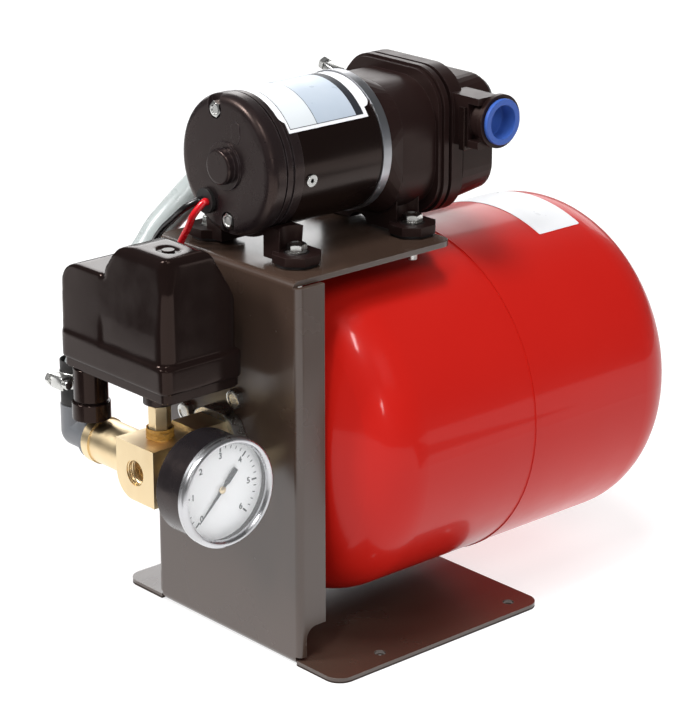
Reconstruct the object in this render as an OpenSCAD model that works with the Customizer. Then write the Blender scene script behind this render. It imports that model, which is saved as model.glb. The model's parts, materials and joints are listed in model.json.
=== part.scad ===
// Booster pump set: a folded steel frame that carries a lying pressure vessel, a motor pump on a
// shelf above it, and a brass manifold with pressure switch and gauge on the front of the upright.
// The vessel's axis runs along Y. The origin is the centre of the base plate's underside.

/* [Frame] */
// Width of the base plate, across the vessel
base_w = 192; // [184:1:230]
// Length of the base plate, along the vessel
base_d = 160; // [150:1:200]
// Thickness of the folded sheet
sheet_t = 3; // [2:0.5:4]
// Corner radius of the base plate
base_r = 10; // [4:1:20]
// Width of the upright over its return flanges
upright_w = 128; // [118:1:140]
// Gap between the vessel and the shelf's underside
shelf_gap = 6.8; // [5:0.1:20]
// Length of the shelf from the upright's front face
shelf_d = 119; // [112:1:140]
// Radius of the shelf's two free corners
shelf_r = 8; // [3:1:14]
// Inner radius of every fold
fold_r = 1; // [0.5:0.5:2]
// Depth of the return flange at each side of the upright
return_d = 19; // [15:0.5:21]
// Height of the relief notch at the foot of each return flange
notch_z = 22.5; // [16:0.5:30]
// Corner radius of the relief notch
notch_r = 7; // [3:0.5:10]
// Distance of the base plate's mounting holes from its side edges
base_hole_side = 12; // [8:0.5:14]
// Distance of the two front mounting holes from the base plate's front edge
base_hole_front = 42; // [20:1:50]
// Distance of the two rear mounting holes from the base plate's rear edge
base_hole_rear = 16; // [10:1:24]
// Diameter of a mounting hole in the base plate
base_hole_d = 6.5; // [5:0.5:8]

/* [Vessel] */
// Radius of the vessel
tank_r = 100; // [96:1:104]
// Length of the vessel between the tops of its two domes
tank_len = 284; // [270:1:310]
// Distance of the weld seam from the top of the front dome
seam_s = 137; // [90:1:180]
// Gap between the upright and the top of the front dome
tank_stand = 7; // [6:0.5:9]
// Wall of the vessel
tank_wall = 1.5; // [1:0.1:2]
// Crown radius of a dome
crown_r = 160; // [140:1:190]
// Knuckle radius of a dome
knuckle_r = 35; // [25:1:42]
// Gap between the vessel and the base plate
tank_lift = 11.7; // [8:0.1:14]
// Radius of the vessel's mouth
mouth_r = 29; // [27:0.5:30]
// Radius of the mouth's flange
flange_r = 45; // [43:0.5:48]
// Thickness of the mouth's flange
flange_t = 4; // [3:0.5:5]
// Circle on which the flange screws stand
flange_pcd = 68; // [67:0.5:70]
// Number of flange screws
flange_screws = 4; // [4:1:6]
// Angle of the first flange screw
flange_screw_a = 69; // [60:1:80]
// Wall of the rubber bladder
bladder_t = 2; // [1.5:0.5:3]
// Gap between the bladder and the shell
bladder_gap = 8; // [7.5:0.5:10]
// Outer radius of the stub's thread, one inch pipe
stub_r = 16.6; // [15:0.1:17]
// Bore radius of the stub
stub_bore_r = 12.5; // [9:0.5:13]
// Length of the stub in front of the flange
stub_len = 26; // [22:0.5:28]
// Width across the lock nut's flats
lock_nut_af = 46; // [45:1:47]
// Radius to which the lock nut's corners are turned
lock_nut_r = 24.5; // [24:0.1:26]
// Thickness of the lock nut
lock_nut_t = 8; // [6:0.5:9]
// Outer radius of the air valve's stem
valve_r = 3.9; // [3.5:0.1:4.2]
// Length of the air valve's stem outside the vessel
valve_len = 15; // [12:1:20]

/* [Manifold] */
// Width of the manifold's block
block_w = 33; // [31:0.5:36]
// Depth of the manifold's block, along the vessel's axis
block_d = 36; // [34:0.5:40]
// Height of the manifold's block
block_h = 33; // [31:0.5:36]
// Radius of the block's lower left corner
block_r = 14; // [6:0.5:15]
// Width across the flats of the manifold's rear collar
collar_af = 38; // [36:0.5:40]
// Length of the rear collar
collar_len = 19; // [18:0.5:22]
// Radius of the manifold's left arm
arm_r = 13; // [12:0.5:14]
// Length of the left arm
arm_len = 39; // [38:0.5:42]
// Bore radius of the free front port, three eighths pipe
port_r = 7.5; // [6:0.1:8]
// Depth of the front port
port_depth = 11; // [8:0.5:11]
// Outer radius of a quarter inch pipe thread
quarter_r = 6.6; // [6:0.1:6.8]
// Clearance between a thread and its bore
thread_gap = 0.05; // [0.02:0.01:0.1]
// Radius of the pipe thread of the nipple under the switch
nipple_r = 4.8; // [4.7:0.1:4.9]
// Width across the flats of the nipple
nipple_af = 11; // [10:0.1:16]
// Height of the nipple's hex
nipple_hex_h = 13; // [10:0.5:15]
// Height of the sealed thread between manifold and hex
nipple_seal_h = 6; // [5:0.5:8]

/* [Gauge] */
// Radius of the gauge's bezel
bezel_r = 31.2; // [30:0.1:34]
// Radius of the gauge's case
gauge_case_r = 29.6; // [28:0.1:30]
// Depth of the gauge from the back of the case to the bezel's front
gauge_depth = 26.5; // [24:0.5:32]
// Wall of the gauge's case
gauge_wall = 1; // [0.8:0.1:1.5]
// Distance from the manifold block to the back of the case
gauge_stem_len = 17; // [15:0.5:20]
// Width across the flats of the gauge's stem
gauge_stem_af = 14; // [12:1:16]
// Length of the pointer from its axis to its tip
needle_len = 22.5; // [18:0.5:24]
// Thickness of the gauge glass
glass_t = 1; // [0.8:0.1:1]

/* [Pressure switch] */
// Length of the switch, across the vessel
switch_w = 96; // [90:1:100]
// Depth of the switch
switch_d = 55; // [52:1:56]
// Distance from the nipple's axis to the switch's right side
switch_right = 29.5; // [27:0.5:34]
// Distance from the nipple's axis to the switch's front
switch_front = 18.5; // [18:0.5:24]
// Height of the switch's base above the vessel's axis
switch_lift = 48.5; // [46:0.5:52]
// Height of the whole switch
switch_h = 78; // [74:1:86]
// Height of the skirt round the cover's foot
skirt_h = 15; // [12:0.5:18]
// Step from the skirt in to the cover's body
skirt_step = 1.5; // [1:0.1:2.5]
// Height by which the low end of the cover lies under its top
step_h = 19.5; // [14:0.5:24]
// Distance from the switch's right side to the foot of the step
tower_w = 58.5; // [54:0.5:62]
// Wall of the cover
cover_wall = 2; // [1.5:0.1:3]
// Corner radius of the cover
cover_r = 8; // [5:0.5:8]
// Thickness of the switch's base plate
switch_base_t = 4; // [3:0.5:5]
// Radius of a cable gland's body
gland_r = 11; // [9:0.5:11.5]
// Height of a cable gland under the base
gland_h = 30; // [25:0.5:30.5]
// Depth of the cover's flat top
crest_d = 33; // [28:0.5:36]
// Slope of the cover's back under its flat top, in degrees
back_slope = 59; // [50:1:70]
// Corner radius of the cover's skirt
skirt_r = 5.5; // [4:0.5:6]

/* [Motor] */
// Height of the motor's axis above the shelf
motor_lift = 51.5; // [50:0.5:60]
// Radius of the motor's can
can_r = 39; // [37:0.5:40]
// Wall of the motor's can
can_wall = 2; // [1.5:0.1:3]
// Length of the motor from the end cap's rim to the ring
motor_len = 75; // [70:1:85]
// Distance of the end cap's rim behind the upright's front face
motor_back = 9; // [6:0.5:14]
// Length of the end cap along the can
cap_len = 18; // [14:0.5:22]
// Radius of the bearing boss on the end cap
boss_r = 10; // [8:0.5:12]
// Height of the bearing boss
boss_h = 5.5; // [4:0.5:8]
// Radius of the motor shaft
shaft_r = 4; // [3.5:0.5:5]
// Radius of the armature
armature_r = 24; // [20:0.5:25]
// Thickness of a field magnet
magnet_t = 9; // [6:0.5:10]
// Distance of the two through bolts from the motor's axis
through_r = 31; // [29:0.5:32]
// Width of the bright ring between can and pump
ring_w = 6; // [4:0.5:8]
// Height by which the bright ring stands out over the can
ring_step = 1; // [0.5:0.1:2]

/* [Pump] */
// Width and height of the pump housing
housing_w = 76; // [74:1:82]
// Height by which the pump's middle lies under the motor's axis
pump_drop = 4; // [0:0.5:5]
// Corner radius of the pump housing
housing_r = 27; // [22:1:32]
// Length of the pump housing, without its flange
housing_len = 35; // [32:1:40]
// Width and height of the flange between housing and head
pump_flange_w = 84; // [82:1:90]
// Corner radius of the flange
pump_flange_r = 23; // [18:1:26]
// Thickness of the housing's flange
pump_flange_t = 6.5; // [5:0.5:8]
// Thickness of the diaphragm between the flanges
diaphragm_t = 2.5; // [2:0.5:4]
// Thickness of the head's flange
head_flange_t = 10.5; // [8:0.5:12]
// Depth of the head behind its flange
head_len = 27.5; // [24:0.5:32]
// Width of the head
head_w = 83; // [80:1:86]
// Radius of a port's collar
collar_r = 15.3; // [14.5:0.1:17]
// Bore radius of a port
port_bore_r = 12; // [10:0.5:12.5]
// Depth of a port's bore
port_bore_len = 12; // [10:1:14]
// Distance of the inlet port's mouth from the pump's middle
port_x = 64; // [60:0.5:70]
// Distance of the outlet port's mouth from the pump's middle
out_port_x = 50; // [48:0.5:51]
// Height of the ports above the pump's axis
port_rise = 16; // [12:0.5:18]
// Diameter over the inlet plug's rim
plug_d = 26.4; // [26:0.1:29]
// Thickness of the inlet plug's rim
plug_rim_t = 2.5; // [2:0.5:6]
// Running clearance round a push-in piece
slip_gap = 0.1; // [0.05:0.05:0.3]

/* [Feet] */
// Distance between the feet across the pump
foot_sx = 72; // [68:1:78]
// Distance between the front and rear feet
foot_sy = 86; // [82:1:90]
// Distance of the front feet behind the upright's front face
foot_back = 23.5; // [20:0.5:28]
// Radius of a foot's rubber disc
foot_r = 12; // [10:0.5:12.5]
// Thickness of a foot's rubber disc
foot_h = 2; // [1.5:0.5:4]
// Thickness of a saddle's ears
ear_t = 5; // [3:0.5:6]
// Width across the flats of an eight-sided ear
ear_af = 26; // [22:1:27]
// Length of the front saddle along the motor
saddle_len = 17; // [14:1:20]
// Radius of a foot bolt
foot_bolt_r = 3; // [2.5:0.5:3.5]
// Length of a rivet nut under the shelf
rivet_nut_len = 8; // [7:0.5:9]
// Length of a foot bolt under the shelf
foot_bolt_reach = 12; // [9:0.5:12]

/* [Hose and wires] */
// Outer radius of the hose
hose_r = 9; // [8:0.5:10]
// Bore radius of the hose, over its barbs
hose_bore_r = 6.5; // [5:0.5:7]
// Outer radius of an elbow's limb
elbow_r = 10; // [9:0.5:12]
// Distance from the manifold's arm to the standing limb's axis
elbow_out = 20.5; // [20:0.5:24]
// Radius of a wire
wire_r = 2; // [1.5:0.1:2.2]

/* [Hidden] */
$fn = 64;
eps = 0.01;

// Places in the frame
front_y = -base_d / 2;
back_y = front_y + sheet_t;
fold_o = fold_r + sheet_t;
flat_w = upright_w - 2 * fold_o;
tank_z = sheet_t + tank_lift + tank_r;
shelf_z = tank_z + tank_r + shelf_gap + sheet_t;
shelf_under = shelf_z - sheet_t;
relief = 1;
screw_r = 3;
screw_af = 10;
screw_head_h = 4;
hole_play = 0.3;

// The vessel's outline, measured along its axis from the top of the front dome
dome_h = crown_r - sqrt(pow(crown_r - knuckle_r, 2) - pow(tank_r - knuckle_r, 2));
function dome_s(r) = crown_r - sqrt(crown_r * crown_r - r * r);
crown_a = asin((tank_r - knuckle_r) / (crown_r - knuckle_r));
tank_y = back_y + tank_stand;
lip_t = 2.5;
mouth_y = back_y + flange_t + lip_t;
mouth_s = mouth_y - tank_y;
screw_grip = 3.5;
bladder_in = tank_wall + bladder_gap;
bladder_neck_r = mouth_r - hole_play;

// The manifold and what hangs on it
block_y0 = front_y - lock_nut_t - collar_len - block_d;
cross_y = block_y0 + block_d / 2;
arm_x = -block_w / 2 - arm_len;
arm_bore_r = arm_r - 3;
block_top = tank_z + block_h / 2;
quarter_depth = 9;
stem_depth = 8.5;
nipple_top = block_top + nipple_seal_h + nipple_hex_h;
elbow_x = arm_x - elbow_out;
case_x = block_w / 2 + gauge_stem_len;
gauge_z = tank_z + 1.3;
dial_x = case_x + gauge_depth - 8.5;
needle_x = dial_x + 1.6;
pinion_r = 1.6;
sector_r = 12;
sector_pivot = pinion_r + sector_r + 0.3;
plate_back = case_x + 6.5;
plate_front = case_x + 13.5;
plate_t = 1;
arbor_r = 0.7;

// The pressure switch
sw_x1 = switch_right;
sw_x0 = sw_x1 - switch_w;
sw_y0 = cross_y - switch_front;
sw_y1 = sw_y0 + switch_d;
sw_z0 = tank_z + switch_lift;
sw_z1 = sw_z0 + switch_h;
lip_h = 3;
pan_h = 3;
pan_z = sw_z0 - pan_h;
pan_inset = 1.5;
front_lean = 4;
boss_z = nipple_top + 1.5;
switch_boss_r = 9;
lever_z = sw_z0 + switch_base_t + 20;
lever_t = 3;
terminal_z = sw_z0 + switch_base_t + 2.5;
terminal_size = [22, 35, 14];
lever_arm = 19;
gland_x = sw_x0 + gland_r + 3;
gland_y = sw_y0 + gland_r;
gland_bore_r = 5;
gland_nut_h = 11;
gland_thread_r = 6.5;
entry = [sw_x0 + 21.5, sw_y0 + 35.5];
inner_step = skirt_step + cover_wall + 0.3;
crest_y = sw_y0 + crest_d;
tower_top_r = 4.5;
tower_high_r = 14;
low_top_r = 5;
low_end_r = 15;
end_step = 1;
cover_screw_x = 11;
recess_h = 1.5;
stud_r = 3.5;
plate_top = sw_z0 + switch_base_t + 6;
plunger_r = 7;

// The motor and pump on their common axis
motor_z = shelf_z + motor_lift;
rim_y = front_y + motor_back;
cap_edge = 5.3;
cap_face = rim_y - cap_edge;
cap_r = can_r + 0.5;
ring_y = rim_y + motor_len;
housing_y = ring_y + ring_w;
pump_flange_y = housing_y + housing_len;
diaphragm_y = pump_flange_y + pump_flange_t;
head_y = diaphragm_y + diaphragm_t;
head_back = head_y + head_flange_t;
through_a = [105, 273];
grommet_at = [-15.6, -22.6];
grommet_r = 5.6;
wire_side = 2.4;
cavity_r = 30;
block_side = 29;
head_screw_at = 25;
pump_z = motor_z - pump_drop;
port_y = head_back + 5.5;
port_z = pump_z + port_rise;
out_x = -out_port_x - 10;
out_r = 8;
out_shoulder = 9;
clamp_w = 9;
cam_y = housing_y + 9;
rivet_y = rim_y + 23;
rivet_a = 8;
rivet_head_r = 3.6;
rivet_sink = 0.25;
armature_y = rim_y + cap_len + 6;
armature_len = motor_len - cap_len - 14;

// The feet
foot_x = foot_sx / 2;
foot_y = [front_y + foot_back, front_y + foot_back + foot_sy];
ear_z = shelf_z + foot_h;
foot_top = ear_z + ear_t;
neck_r = 7;
wing_drop = 32;
saddle_t = 2.5;
rivet_r = 4.5;
washer_t = 1;
washer_r = 6.2;

// Routes, as points chosen along the centre line
side_x = -upright_w / 2 - hose_r - 4;
function hose_at(u, y, t) = [out_x + u * (side_x - out_x), y, tank_z + t * (port_z - tank_z)];
hose_route = [
  [out_x, port_y - out_shoulder, port_z],
  [out_x, port_y - 22, port_z],
  hose_at(0, port_y - 36, 0.983),
  hose_at(0.05, port_y - 50, 0.954),
  hose_at(0.15, port_y - 66, 0.913),
  hose_at(0.3, port_y - 85, 0.85),
  hose_at(0.45, front_y + 40, 0.758),
  hose_at(0.64, front_y + 24, 0.677),
  hose_at(0.84, front_y + 15, 0.619),
  hose_at(0.94, front_y + 8, 0.561),
  hose_at(1, front_y - 4, 0.486),
  hose_at(1, front_y - 18, 0.4),
  hose_at(1, front_y - 28, 0.319),
  hose_at(0.97, cross_y + 8, 0.261),
  [elbow_x, cross_y + 2, tank_z + 37.3],
  [elbow_x, cross_y, tank_z + 29.3],
  [elbow_x, cross_y, tank_z + 16]
];

// A wire from the end cap to the switch, on one side of both grommets. Each point between them has its x,
// its distance before the upright, and its share of the height from the switch's pan to the motor's axis.
function wire_route(side, ways) = concat(
  [for (y = [2, -2.7, -4.7]) [grommet_at[0] + side, cap_face + y, motor_z + grommet_at[1]]],
  [for (w = ways) [w[0], front_y - w[1], pan_z + w[2] * (motor_z - pan_z)]],
  [for (z = [-4, -2.7, 6]) [entry[0] + side, entry[1], pan_z + z]]
);
red_route = wire_route(wire_side, [
  [-17, 5.2, 0.744], [-22, 5.2, 0.672], [-29, 5, 0.586], [-36, 5, 0.465], [-42, 5, 0.309],
  [-46, 5, 0.137], [-47, 6, 0.012], [-46, 13, -0.06], [-44, 21, -0.08]
]);
black_route = wire_route(-wire_side, [
  [-24, 5.2, 0.767], [-34, 5.5, 0.698], [-46, 5.5, 0.611], [-55, 5, 0.508], [-59, 5, 0.344],
  [-60, 5, 0.137], [-59, 6, 0.012], [-54, 13, -0.06], [-50, 21, -0.075]
]);

// Helpers

// Rounded rectangle about the origin
module rounded_rect(w, h, r) {
  square([w - 2 * r, h], center = true);
  square([w, h - 2 * r], center = true);
  for (x = [-1, 1], y = [-1, 1]) translate([x * (w / 2 - r), y * (h / 2 - r)]) circle(r);
}

// Children's z axis laid along +Y
module along_y(y, x = 0, z = 0) translate([x, y, z]) rotate([-90, 0, 0]) children();

// Children's z axis laid along +X
module along_x(x, y = 0, z = 0) translate([x, y, z]) rotate([0, 90, 0]) children();

// A flat outline in X and Z, given a thickness from y towards +Y
module slab_xz(y, t) translate([0, y + t, 0]) rotate([90, 0, 0]) linear_extrude(t) children();

// A flat outline in Y and Z, given a thickness from x towards +X
module slab_yz(x, t) translate([x, 0, 0]) rotate([90, 0, 90]) linear_extrude(t) children();

module hex(af, h) cylinder(d = af / cos(30), h = h, $fn = 6);

module pipe(ro, ri, h) difference() {
  cylinder(r = ro, h = h);
  translate([0, 0, -1]) cylinder(r = ri, h = h + 2);
}

// A quarter of a bend's ring, its centre at the origin, towards -x and -y
module bend() intersection() {
  difference() {
    circle(fold_o);
    circle(fold_r);
  }
  translate([-fold_o, -fold_o]) square(fold_o);
}

// Places for the flange screws, about the vessel's axis
module each_flange_screw() for (i = [0:flange_screws - 1])
  let (a = flange_screw_a + i * 360 / flange_screws)
    translate([flange_pcd / 2 * cos(a), 0, tank_z + flange_pcd / 2 * sin(a)]) children();

module each_foot() for (x = [-foot_x, foot_x], y = foot_y) translate([x, y, 0]) children();

// A place on the motor's face, at radius r and angle a from +X towards +Z
module on_motor(r, a) translate([r * cos(a), 0, motor_z + r * sin(a)]) children();

// Swept tubes

function unit(v) = v / norm(v);
function spline(a, b, c, d, t) =
  0.5 * (2 * b + (c - a) * t + (2 * a - 5 * b + 4 * c - d) * t * t + (3 * b - a - 3 * c + d) * t * t * t);
function route_points(p, n) = let (m = len(p) - 1) concat(
  [for (i = [0:m - 1], k = [0:n - 1]) spline(p[max(i - 1, 0)], p[i], p[i + 1], p[min(i + 2, m)], k / n)],
  [p[m]]);
function tangents(p) = let (m = len(p) - 1)
  [for (i = [0:m]) unit(p[min(i + 1, m)] - p[max(i - 1, 0)])];
function across(t, n) = unit(n - (n * t) * t);
function normals(ts, n, i = 0) =
  i == len(ts) ? [] : let (m = across(ts[i], n)) concat([m], normals(ts, m, i + 1));
function ring_points(c, t, n, r, sides) = let (b = cross(t, n))
  [for (k = [0:sides - 1]) c + r * (cos(360 * k / sides) * n + sin(360 * k / sides) * b)];

// A solid tube of radius r along the route
module swept_tube(route, r, sides, n) {
  c = route_points(route, n);
  t = tangents(c);
  m = normals(t, [0.31, 0.17, 0.94]);
  last = len(c) - 1;
  points = [for (i = [0:last]) each ring_points(c[i], t[i], m[i], r, sides)];
  walls = [for (i = [0:last - 1], k = [0:sides - 1]) let (j = (k + 1) % sides)
    [i * sides + k, i * sides + j, (i + 1) * sides + j, (i + 1) * sides + k]];
  front = [for (k = [0:sides - 1]) sides - 1 - k];
  end = [for (k = [0:sides - 1]) last * sides + k];
  polyhedron(points = points, faces = concat([front], walls, [end]), convexity = 10);
}

// A hollow tube along the route, with outer radius ro and inner radius ri
module swept_hose(route, ro, ri, sides, n) {
  c = route_points(route, n);
  t = tangents(c);
  m = normals(t, [0.31, 0.17, 0.94]);
  last = len(c) - 1;
  w = 2 * sides;
  points = [for (i = [0:last]) each concat(
    ring_points(c[i], t[i], m[i], ro, sides), ring_points(c[i], t[i], m[i], ri, sides))];
  outer = [for (i = [0:last - 1], k = [0:sides - 1]) let (j = (k + 1) % sides)
    [i * w + k, i * w + j, (i + 1) * w + j, (i + 1) * w + k]];
  inner = [for (i = [0:last - 1], k = [0:sides - 1]) let (j = (k + 1) % sides, o = i * w + sides)
    [o + j, o + k, o + w + k, o + w + j]];
  front = [for (k = [0:sides - 1]) let (j = (k + 1) % sides) [j, k, sides + k, sides + j]];
  end = [for (k = [0:sides - 1]) let (j = (k + 1) % sides, o = last * w)
    [o + k, o + j, o + sides + j, o + sides + k]];
  polyhedron(points = points, faces = concat(front, outer, inner, end), convexity = 10);
}

// Frame

module base_outline() difference() {
  rounded_rect(base_w, base_d, base_r);
  translate([-flat_w / 2 - relief, front_y - 1]) square([flat_w + 2 * relief, fold_o + 1]);
  for (x = [-1, 1], y = [front_y + base_hole_front, -front_y - base_hole_rear])
    translate([x * (base_w / 2 - base_hole_side), y]) circle(d = base_hole_d);
}

module shelf_outline() difference() {
  union() {
    translate([-flat_w / 2, front_y + fold_o]) square([flat_w, shelf_d / 2]);
    translate([0, front_y + (fold_o + shelf_d) / 2]) rounded_rect(flat_w, shelf_d - fold_o, shelf_r);
  }
  for (x = [-foot_x, foot_x], y = foot_y) translate([x, y]) circle(rivet_r + thread_gap);
}

module upright_outline() difference() {
  translate([-flat_w / 2, fold_o]) square([flat_w, shelf_z - 2 * fold_o]);
  translate([0, tank_z]) circle(stub_r + hole_play);
  for (i = [0:flange_screws - 1])
    translate([0, tank_z]) rotate(flange_screw_a + i * 360 / flange_screws)
      translate([flange_pcd / 2, 0]) circle(screw_r + hole_play);
}

// The notch that frees the foot of a return flange, in Y and Z
module notch_outline() translate([front_y + sheet_t + 2, 0]) {
  square([return_d, notch_z - notch_r]);
  translate([notch_r, 0]) square([return_d, notch_z]);
  translate([notch_r, notch_z - notch_r]) circle(notch_r);
}

module return_flange() {
  top = shelf_under - 0.3;
  difference() {
    union() {
      translate([-upright_w / 2 + fold_o, front_y + fold_o, fold_o + relief])
        linear_extrude(top - fold_o - relief) bend();
      translate([-upright_w / 2, front_y + fold_o, fold_o + relief])
        cube([sheet_t, return_d - fold_o, top - fold_o - relief]);
    }
    slab_yz(-upright_w / 2 - 1, fold_o + 2) notch_outline();
  }
}

module bracket() color("#5A534E") {
  linear_extrude(sheet_t) base_outline();
  translate([0, 0, shelf_under]) linear_extrude(sheet_t) shelf_outline();
  slab_xz(front_y, sheet_t) upright_outline();
  slab_yz(-flat_w / 2, flat_w) translate([front_y + fold_o, fold_o]) bend();
  slab_yz(-flat_w / 2, flat_w) translate([front_y + fold_o, shelf_z - fold_o]) mirror([0, 1]) bend();
  return_flange();
  mirror([1, 0, 0]) return_flange();
}

// Vessel

module dome_section(inset) {
  intersection() {
    translate([0, crown_r]) circle(crown_r - inset, $fn = 180);
    polygon([[0, crown_r],
      [2 * crown_r * sin(crown_a), crown_r - 2 * crown_r * cos(crown_a)], [0, -crown_r]]);
  }
  translate([tank_r - knuckle_r, dome_h]) circle(knuckle_r - inset, $fn = 72);
}

module vessel_section(inset) {
  dome_section(inset);
  translate([0, tank_len]) mirror([0, 1]) dome_section(inset);
  translate([0, dome_h]) square([tank_r - inset, tank_len - 2 * dome_h]);
}

module revolve_vessel() along_y(tank_y, z = tank_z) rotate_extrude($fn = 96) children();

module tank_front_shell() color("#C42424") difference() {
  revolve_vessel() {
    difference() {
      vessel_section(0);
      vessel_section(tank_wall);
      translate([-1, seam_s]) square([tank_r + 2, tank_len]);
      translate([-1, -1]) square([mouth_r + 1, seam_s]);
    }
    // Ring welded round the mouth
    difference() {
      translate([mouth_r, mouth_s])
        square([flange_r - mouth_r, dome_s(flange_r) + tank_wall / 2 - mouth_s]);
      vessel_section(tank_wall);
    }
  }
  each_flange_screw() along_y(mouth_y - 1) cylinder(r = screw_r + thread_gap, h = screw_grip + 1.5);
}

module tank_rear_shell() color("#C42424") revolve_vessel() {
  difference() {
    vessel_section(0);
    vessel_section(tank_wall);
    translate([-1, -1]) square([tank_r + 2, seam_s + 1]);
    translate([-1, seam_s]) square([valve_r + thread_gap + 1, tank_len]);
  }
  translate([tank_r - tank_wall, seam_s]) square([tank_wall + 0.6, 3]);
}

module tank_bladder() color("#1E1E20") difference() {
  revolve_vessel() difference() {
    union() {
      vessel_section(bladder_in);
      translate([0, mouth_s - lip_t]) square([flange_r, lip_t]);
      translate([0, mouth_s - lip_t])
        square([bladder_neck_r, bladder_in + bladder_t + dome_s(bladder_neck_r) + lip_t - mouth_s]);
    }
    vessel_section(bladder_in + bladder_t);
    translate([-1, mouth_s - lip_t - 1])
      square([bladder_neck_r - bladder_t + 1, bladder_in + bladder_t + dome_s(bladder_neck_r) + lip_t + 3]);
  }
  each_flange_screw() along_y(mouth_y - lip_t - 1) cylinder(r = screw_r + hole_play, h = lip_t + 2);
}

module tank_flange() color("#B9B7AE") difference() {
  union() {
    along_y(back_y, z = tank_z) cylinder(r = flange_r, h = flange_t);
    along_y(back_y - stub_len, z = tank_z) cylinder(r = stub_r, h = stub_len + 1);
  }
  along_y(back_y - stub_len - 1, z = tank_z) cylinder(r = stub_bore_r, h = stub_len + flange_t + 2);
  each_flange_screw() along_y(back_y - 1) cylinder(r = screw_r + hole_play, h = flange_t + 2);
}

module tank_screws() color("#C8C8C4") each_flange_screw() {
  along_y(front_y - screw_head_h) hex(screw_af, screw_head_h);
  along_y(front_y - 1) cylinder(r = screw_r, h = mouth_y + screw_grip - front_y + 1);
}

module lock_nut() color("#C9C6BE") along_y(front_y - lock_nut_t, z = tank_z) difference() {
  intersection() {
    hex(lock_nut_af, lock_nut_t);
    cylinder(r = lock_nut_r, h = lock_nut_t);
  }
  translate([0, 0, -1]) cylinder(r = stub_r + thread_gap, h = lock_nut_t + 2);
}

module air_valve() color("#D4B46A") along_y(tank_y + tank_len - tank_wall - 3, z = tank_z) {
  difference() {
    union() {
      cylinder(r = valve_r, h = valve_len + tank_wall + 3);
      translate([0, 0, tank_wall + 3]) hex(12, 3);
      cylinder(r = valve_r + 3, h = 2.4);
    }
    translate([0, 0, -1]) cylinder(r = valve_r - 1.6, h = valve_len + tank_wall + 5);
  }
}

module valve_core() color("#E0CC90") along_y(tank_y + tank_len, z = tank_z) {
  translate([0, 0, 2]) cylinder(r = valve_r - 1.8, h = 3);
  translate([0, 0, 4]) cylinder(r = 0.9, h = valve_len - 4.8);
}

module valve_cap() color("#1C1C1E") along_y(tank_y + tank_len + 3.4, z = tank_z) difference() {
  cylinder(r = valve_r + 1.6, h = valve_len - 1, $fn = 48);
  translate([0, 0, -1]) cylinder(r = valve_r + slip_gap, h = valve_len - 1.5);
}

// Manifold and what is screwed into it

module block_outline() {
  difference() {
    square([block_w, block_h], center = true);
    translate([-block_w / 2 - 1, -block_h / 2 - 1]) square(block_r + 1);
  }
  translate([-block_w / 2 + block_r, -block_h / 2 + block_r]) circle(block_r);
}

module manifold() color("#D9B36C") difference() {
  union() {
    translate([0, 0, tank_z]) slab_xz(block_y0, block_d) block_outline();
    along_y(block_y0 + block_d - 1, z = tank_z) hex(collar_af, collar_len + 1);
    along_x(arm_x, cross_y, tank_z) cylinder(r = arm_r, h = arm_len + 2);
    along_x(arm_x, cross_y, tank_z) cylinder(r = arm_r + 0.8, h = 6);
  }
  along_y(block_y0 + block_d + collar_len - 17, z = tank_z) cylinder(r = stub_r + thread_gap, h = 18);
  along_y(cross_y - 4, z = tank_z) cylinder(r = 9, h = block_d);
  along_y(block_y0 - 1, z = tank_z) cylinder(r = port_r, h = port_depth + 1);
  along_y(block_y0, z = tank_z) cylinder(r = 4, h = block_d / 2);
  along_x(arm_x - 1, cross_y, tank_z) cylinder(r = arm_bore_r, h = 17);
  along_x(arm_x, cross_y, tank_z) cylinder(r = 7, h = arm_len + block_w / 2);
  along_x(0, cross_y, tank_z) cylinder(r = 4, h = block_w);
  along_x(block_w / 2 - quarter_depth, cross_y, gauge_z)
    cylinder(r = quarter_r + thread_gap, h = quarter_depth + 1);
  translate([0, cross_y, tank_z]) cylinder(r = 4, h = block_h);
  translate([0, cross_y, block_top - quarter_depth])
    cylinder(r = nipple_r + thread_gap, h = quarter_depth + 1);
}

module switch_nipple() color("#E3C56E") translate([0, cross_y, 0]) difference() {
  union() {
    translate([0, 0, block_top - quarter_depth])
      cylinder(r = nipple_r, h = nipple_seal_h + quarter_depth + 1);
    translate([0, 0, block_top]) cylinder(r = nipple_r + 2.4, h = nipple_seal_h);
    translate([0, 0, block_top + nipple_seal_h]) hex(nipple_af, nipple_hex_h);
    translate([0, 0, nipple_top - 1]) cylinder(r = nipple_r, h = quarter_depth + 1);
  }
  translate([0, 0, block_top - quarter_depth - 1]) cylinder(r = nipple_r / 2, h = 60);
}

module gauge_stem() color("#D6B25E") difference() {
  union() {
    along_x(block_w / 2 - stem_depth, cross_y, gauge_z) cylinder(r = quarter_r, h = stem_depth + 2);
    along_x(block_w / 2 + 1, cross_y, gauge_z) hex(gauge_stem_af, gauge_stem_len - 6);
    along_x(block_w / 2 + 1, cross_y, gauge_z) cylinder(r = 5, h = gauge_stem_len + gauge_wall - 1);
  }
  along_x(0, cross_y, gauge_z) cylinder(r = 1.5, h = 60);
}

module on_gauge(x) along_x(case_x + x, cross_y, gauge_z) children();

module gauge_case() color("#2A282C") difference() {
  on_gauge(0) cylinder(r = gauge_case_r, h = gauge_depth - 3);
  on_gauge(gauge_wall) cylinder(r = gauge_case_r - gauge_wall, h = gauge_depth);
  on_gauge(-1) cylinder(r = 5 + thread_gap, h = 3);
}

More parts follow.
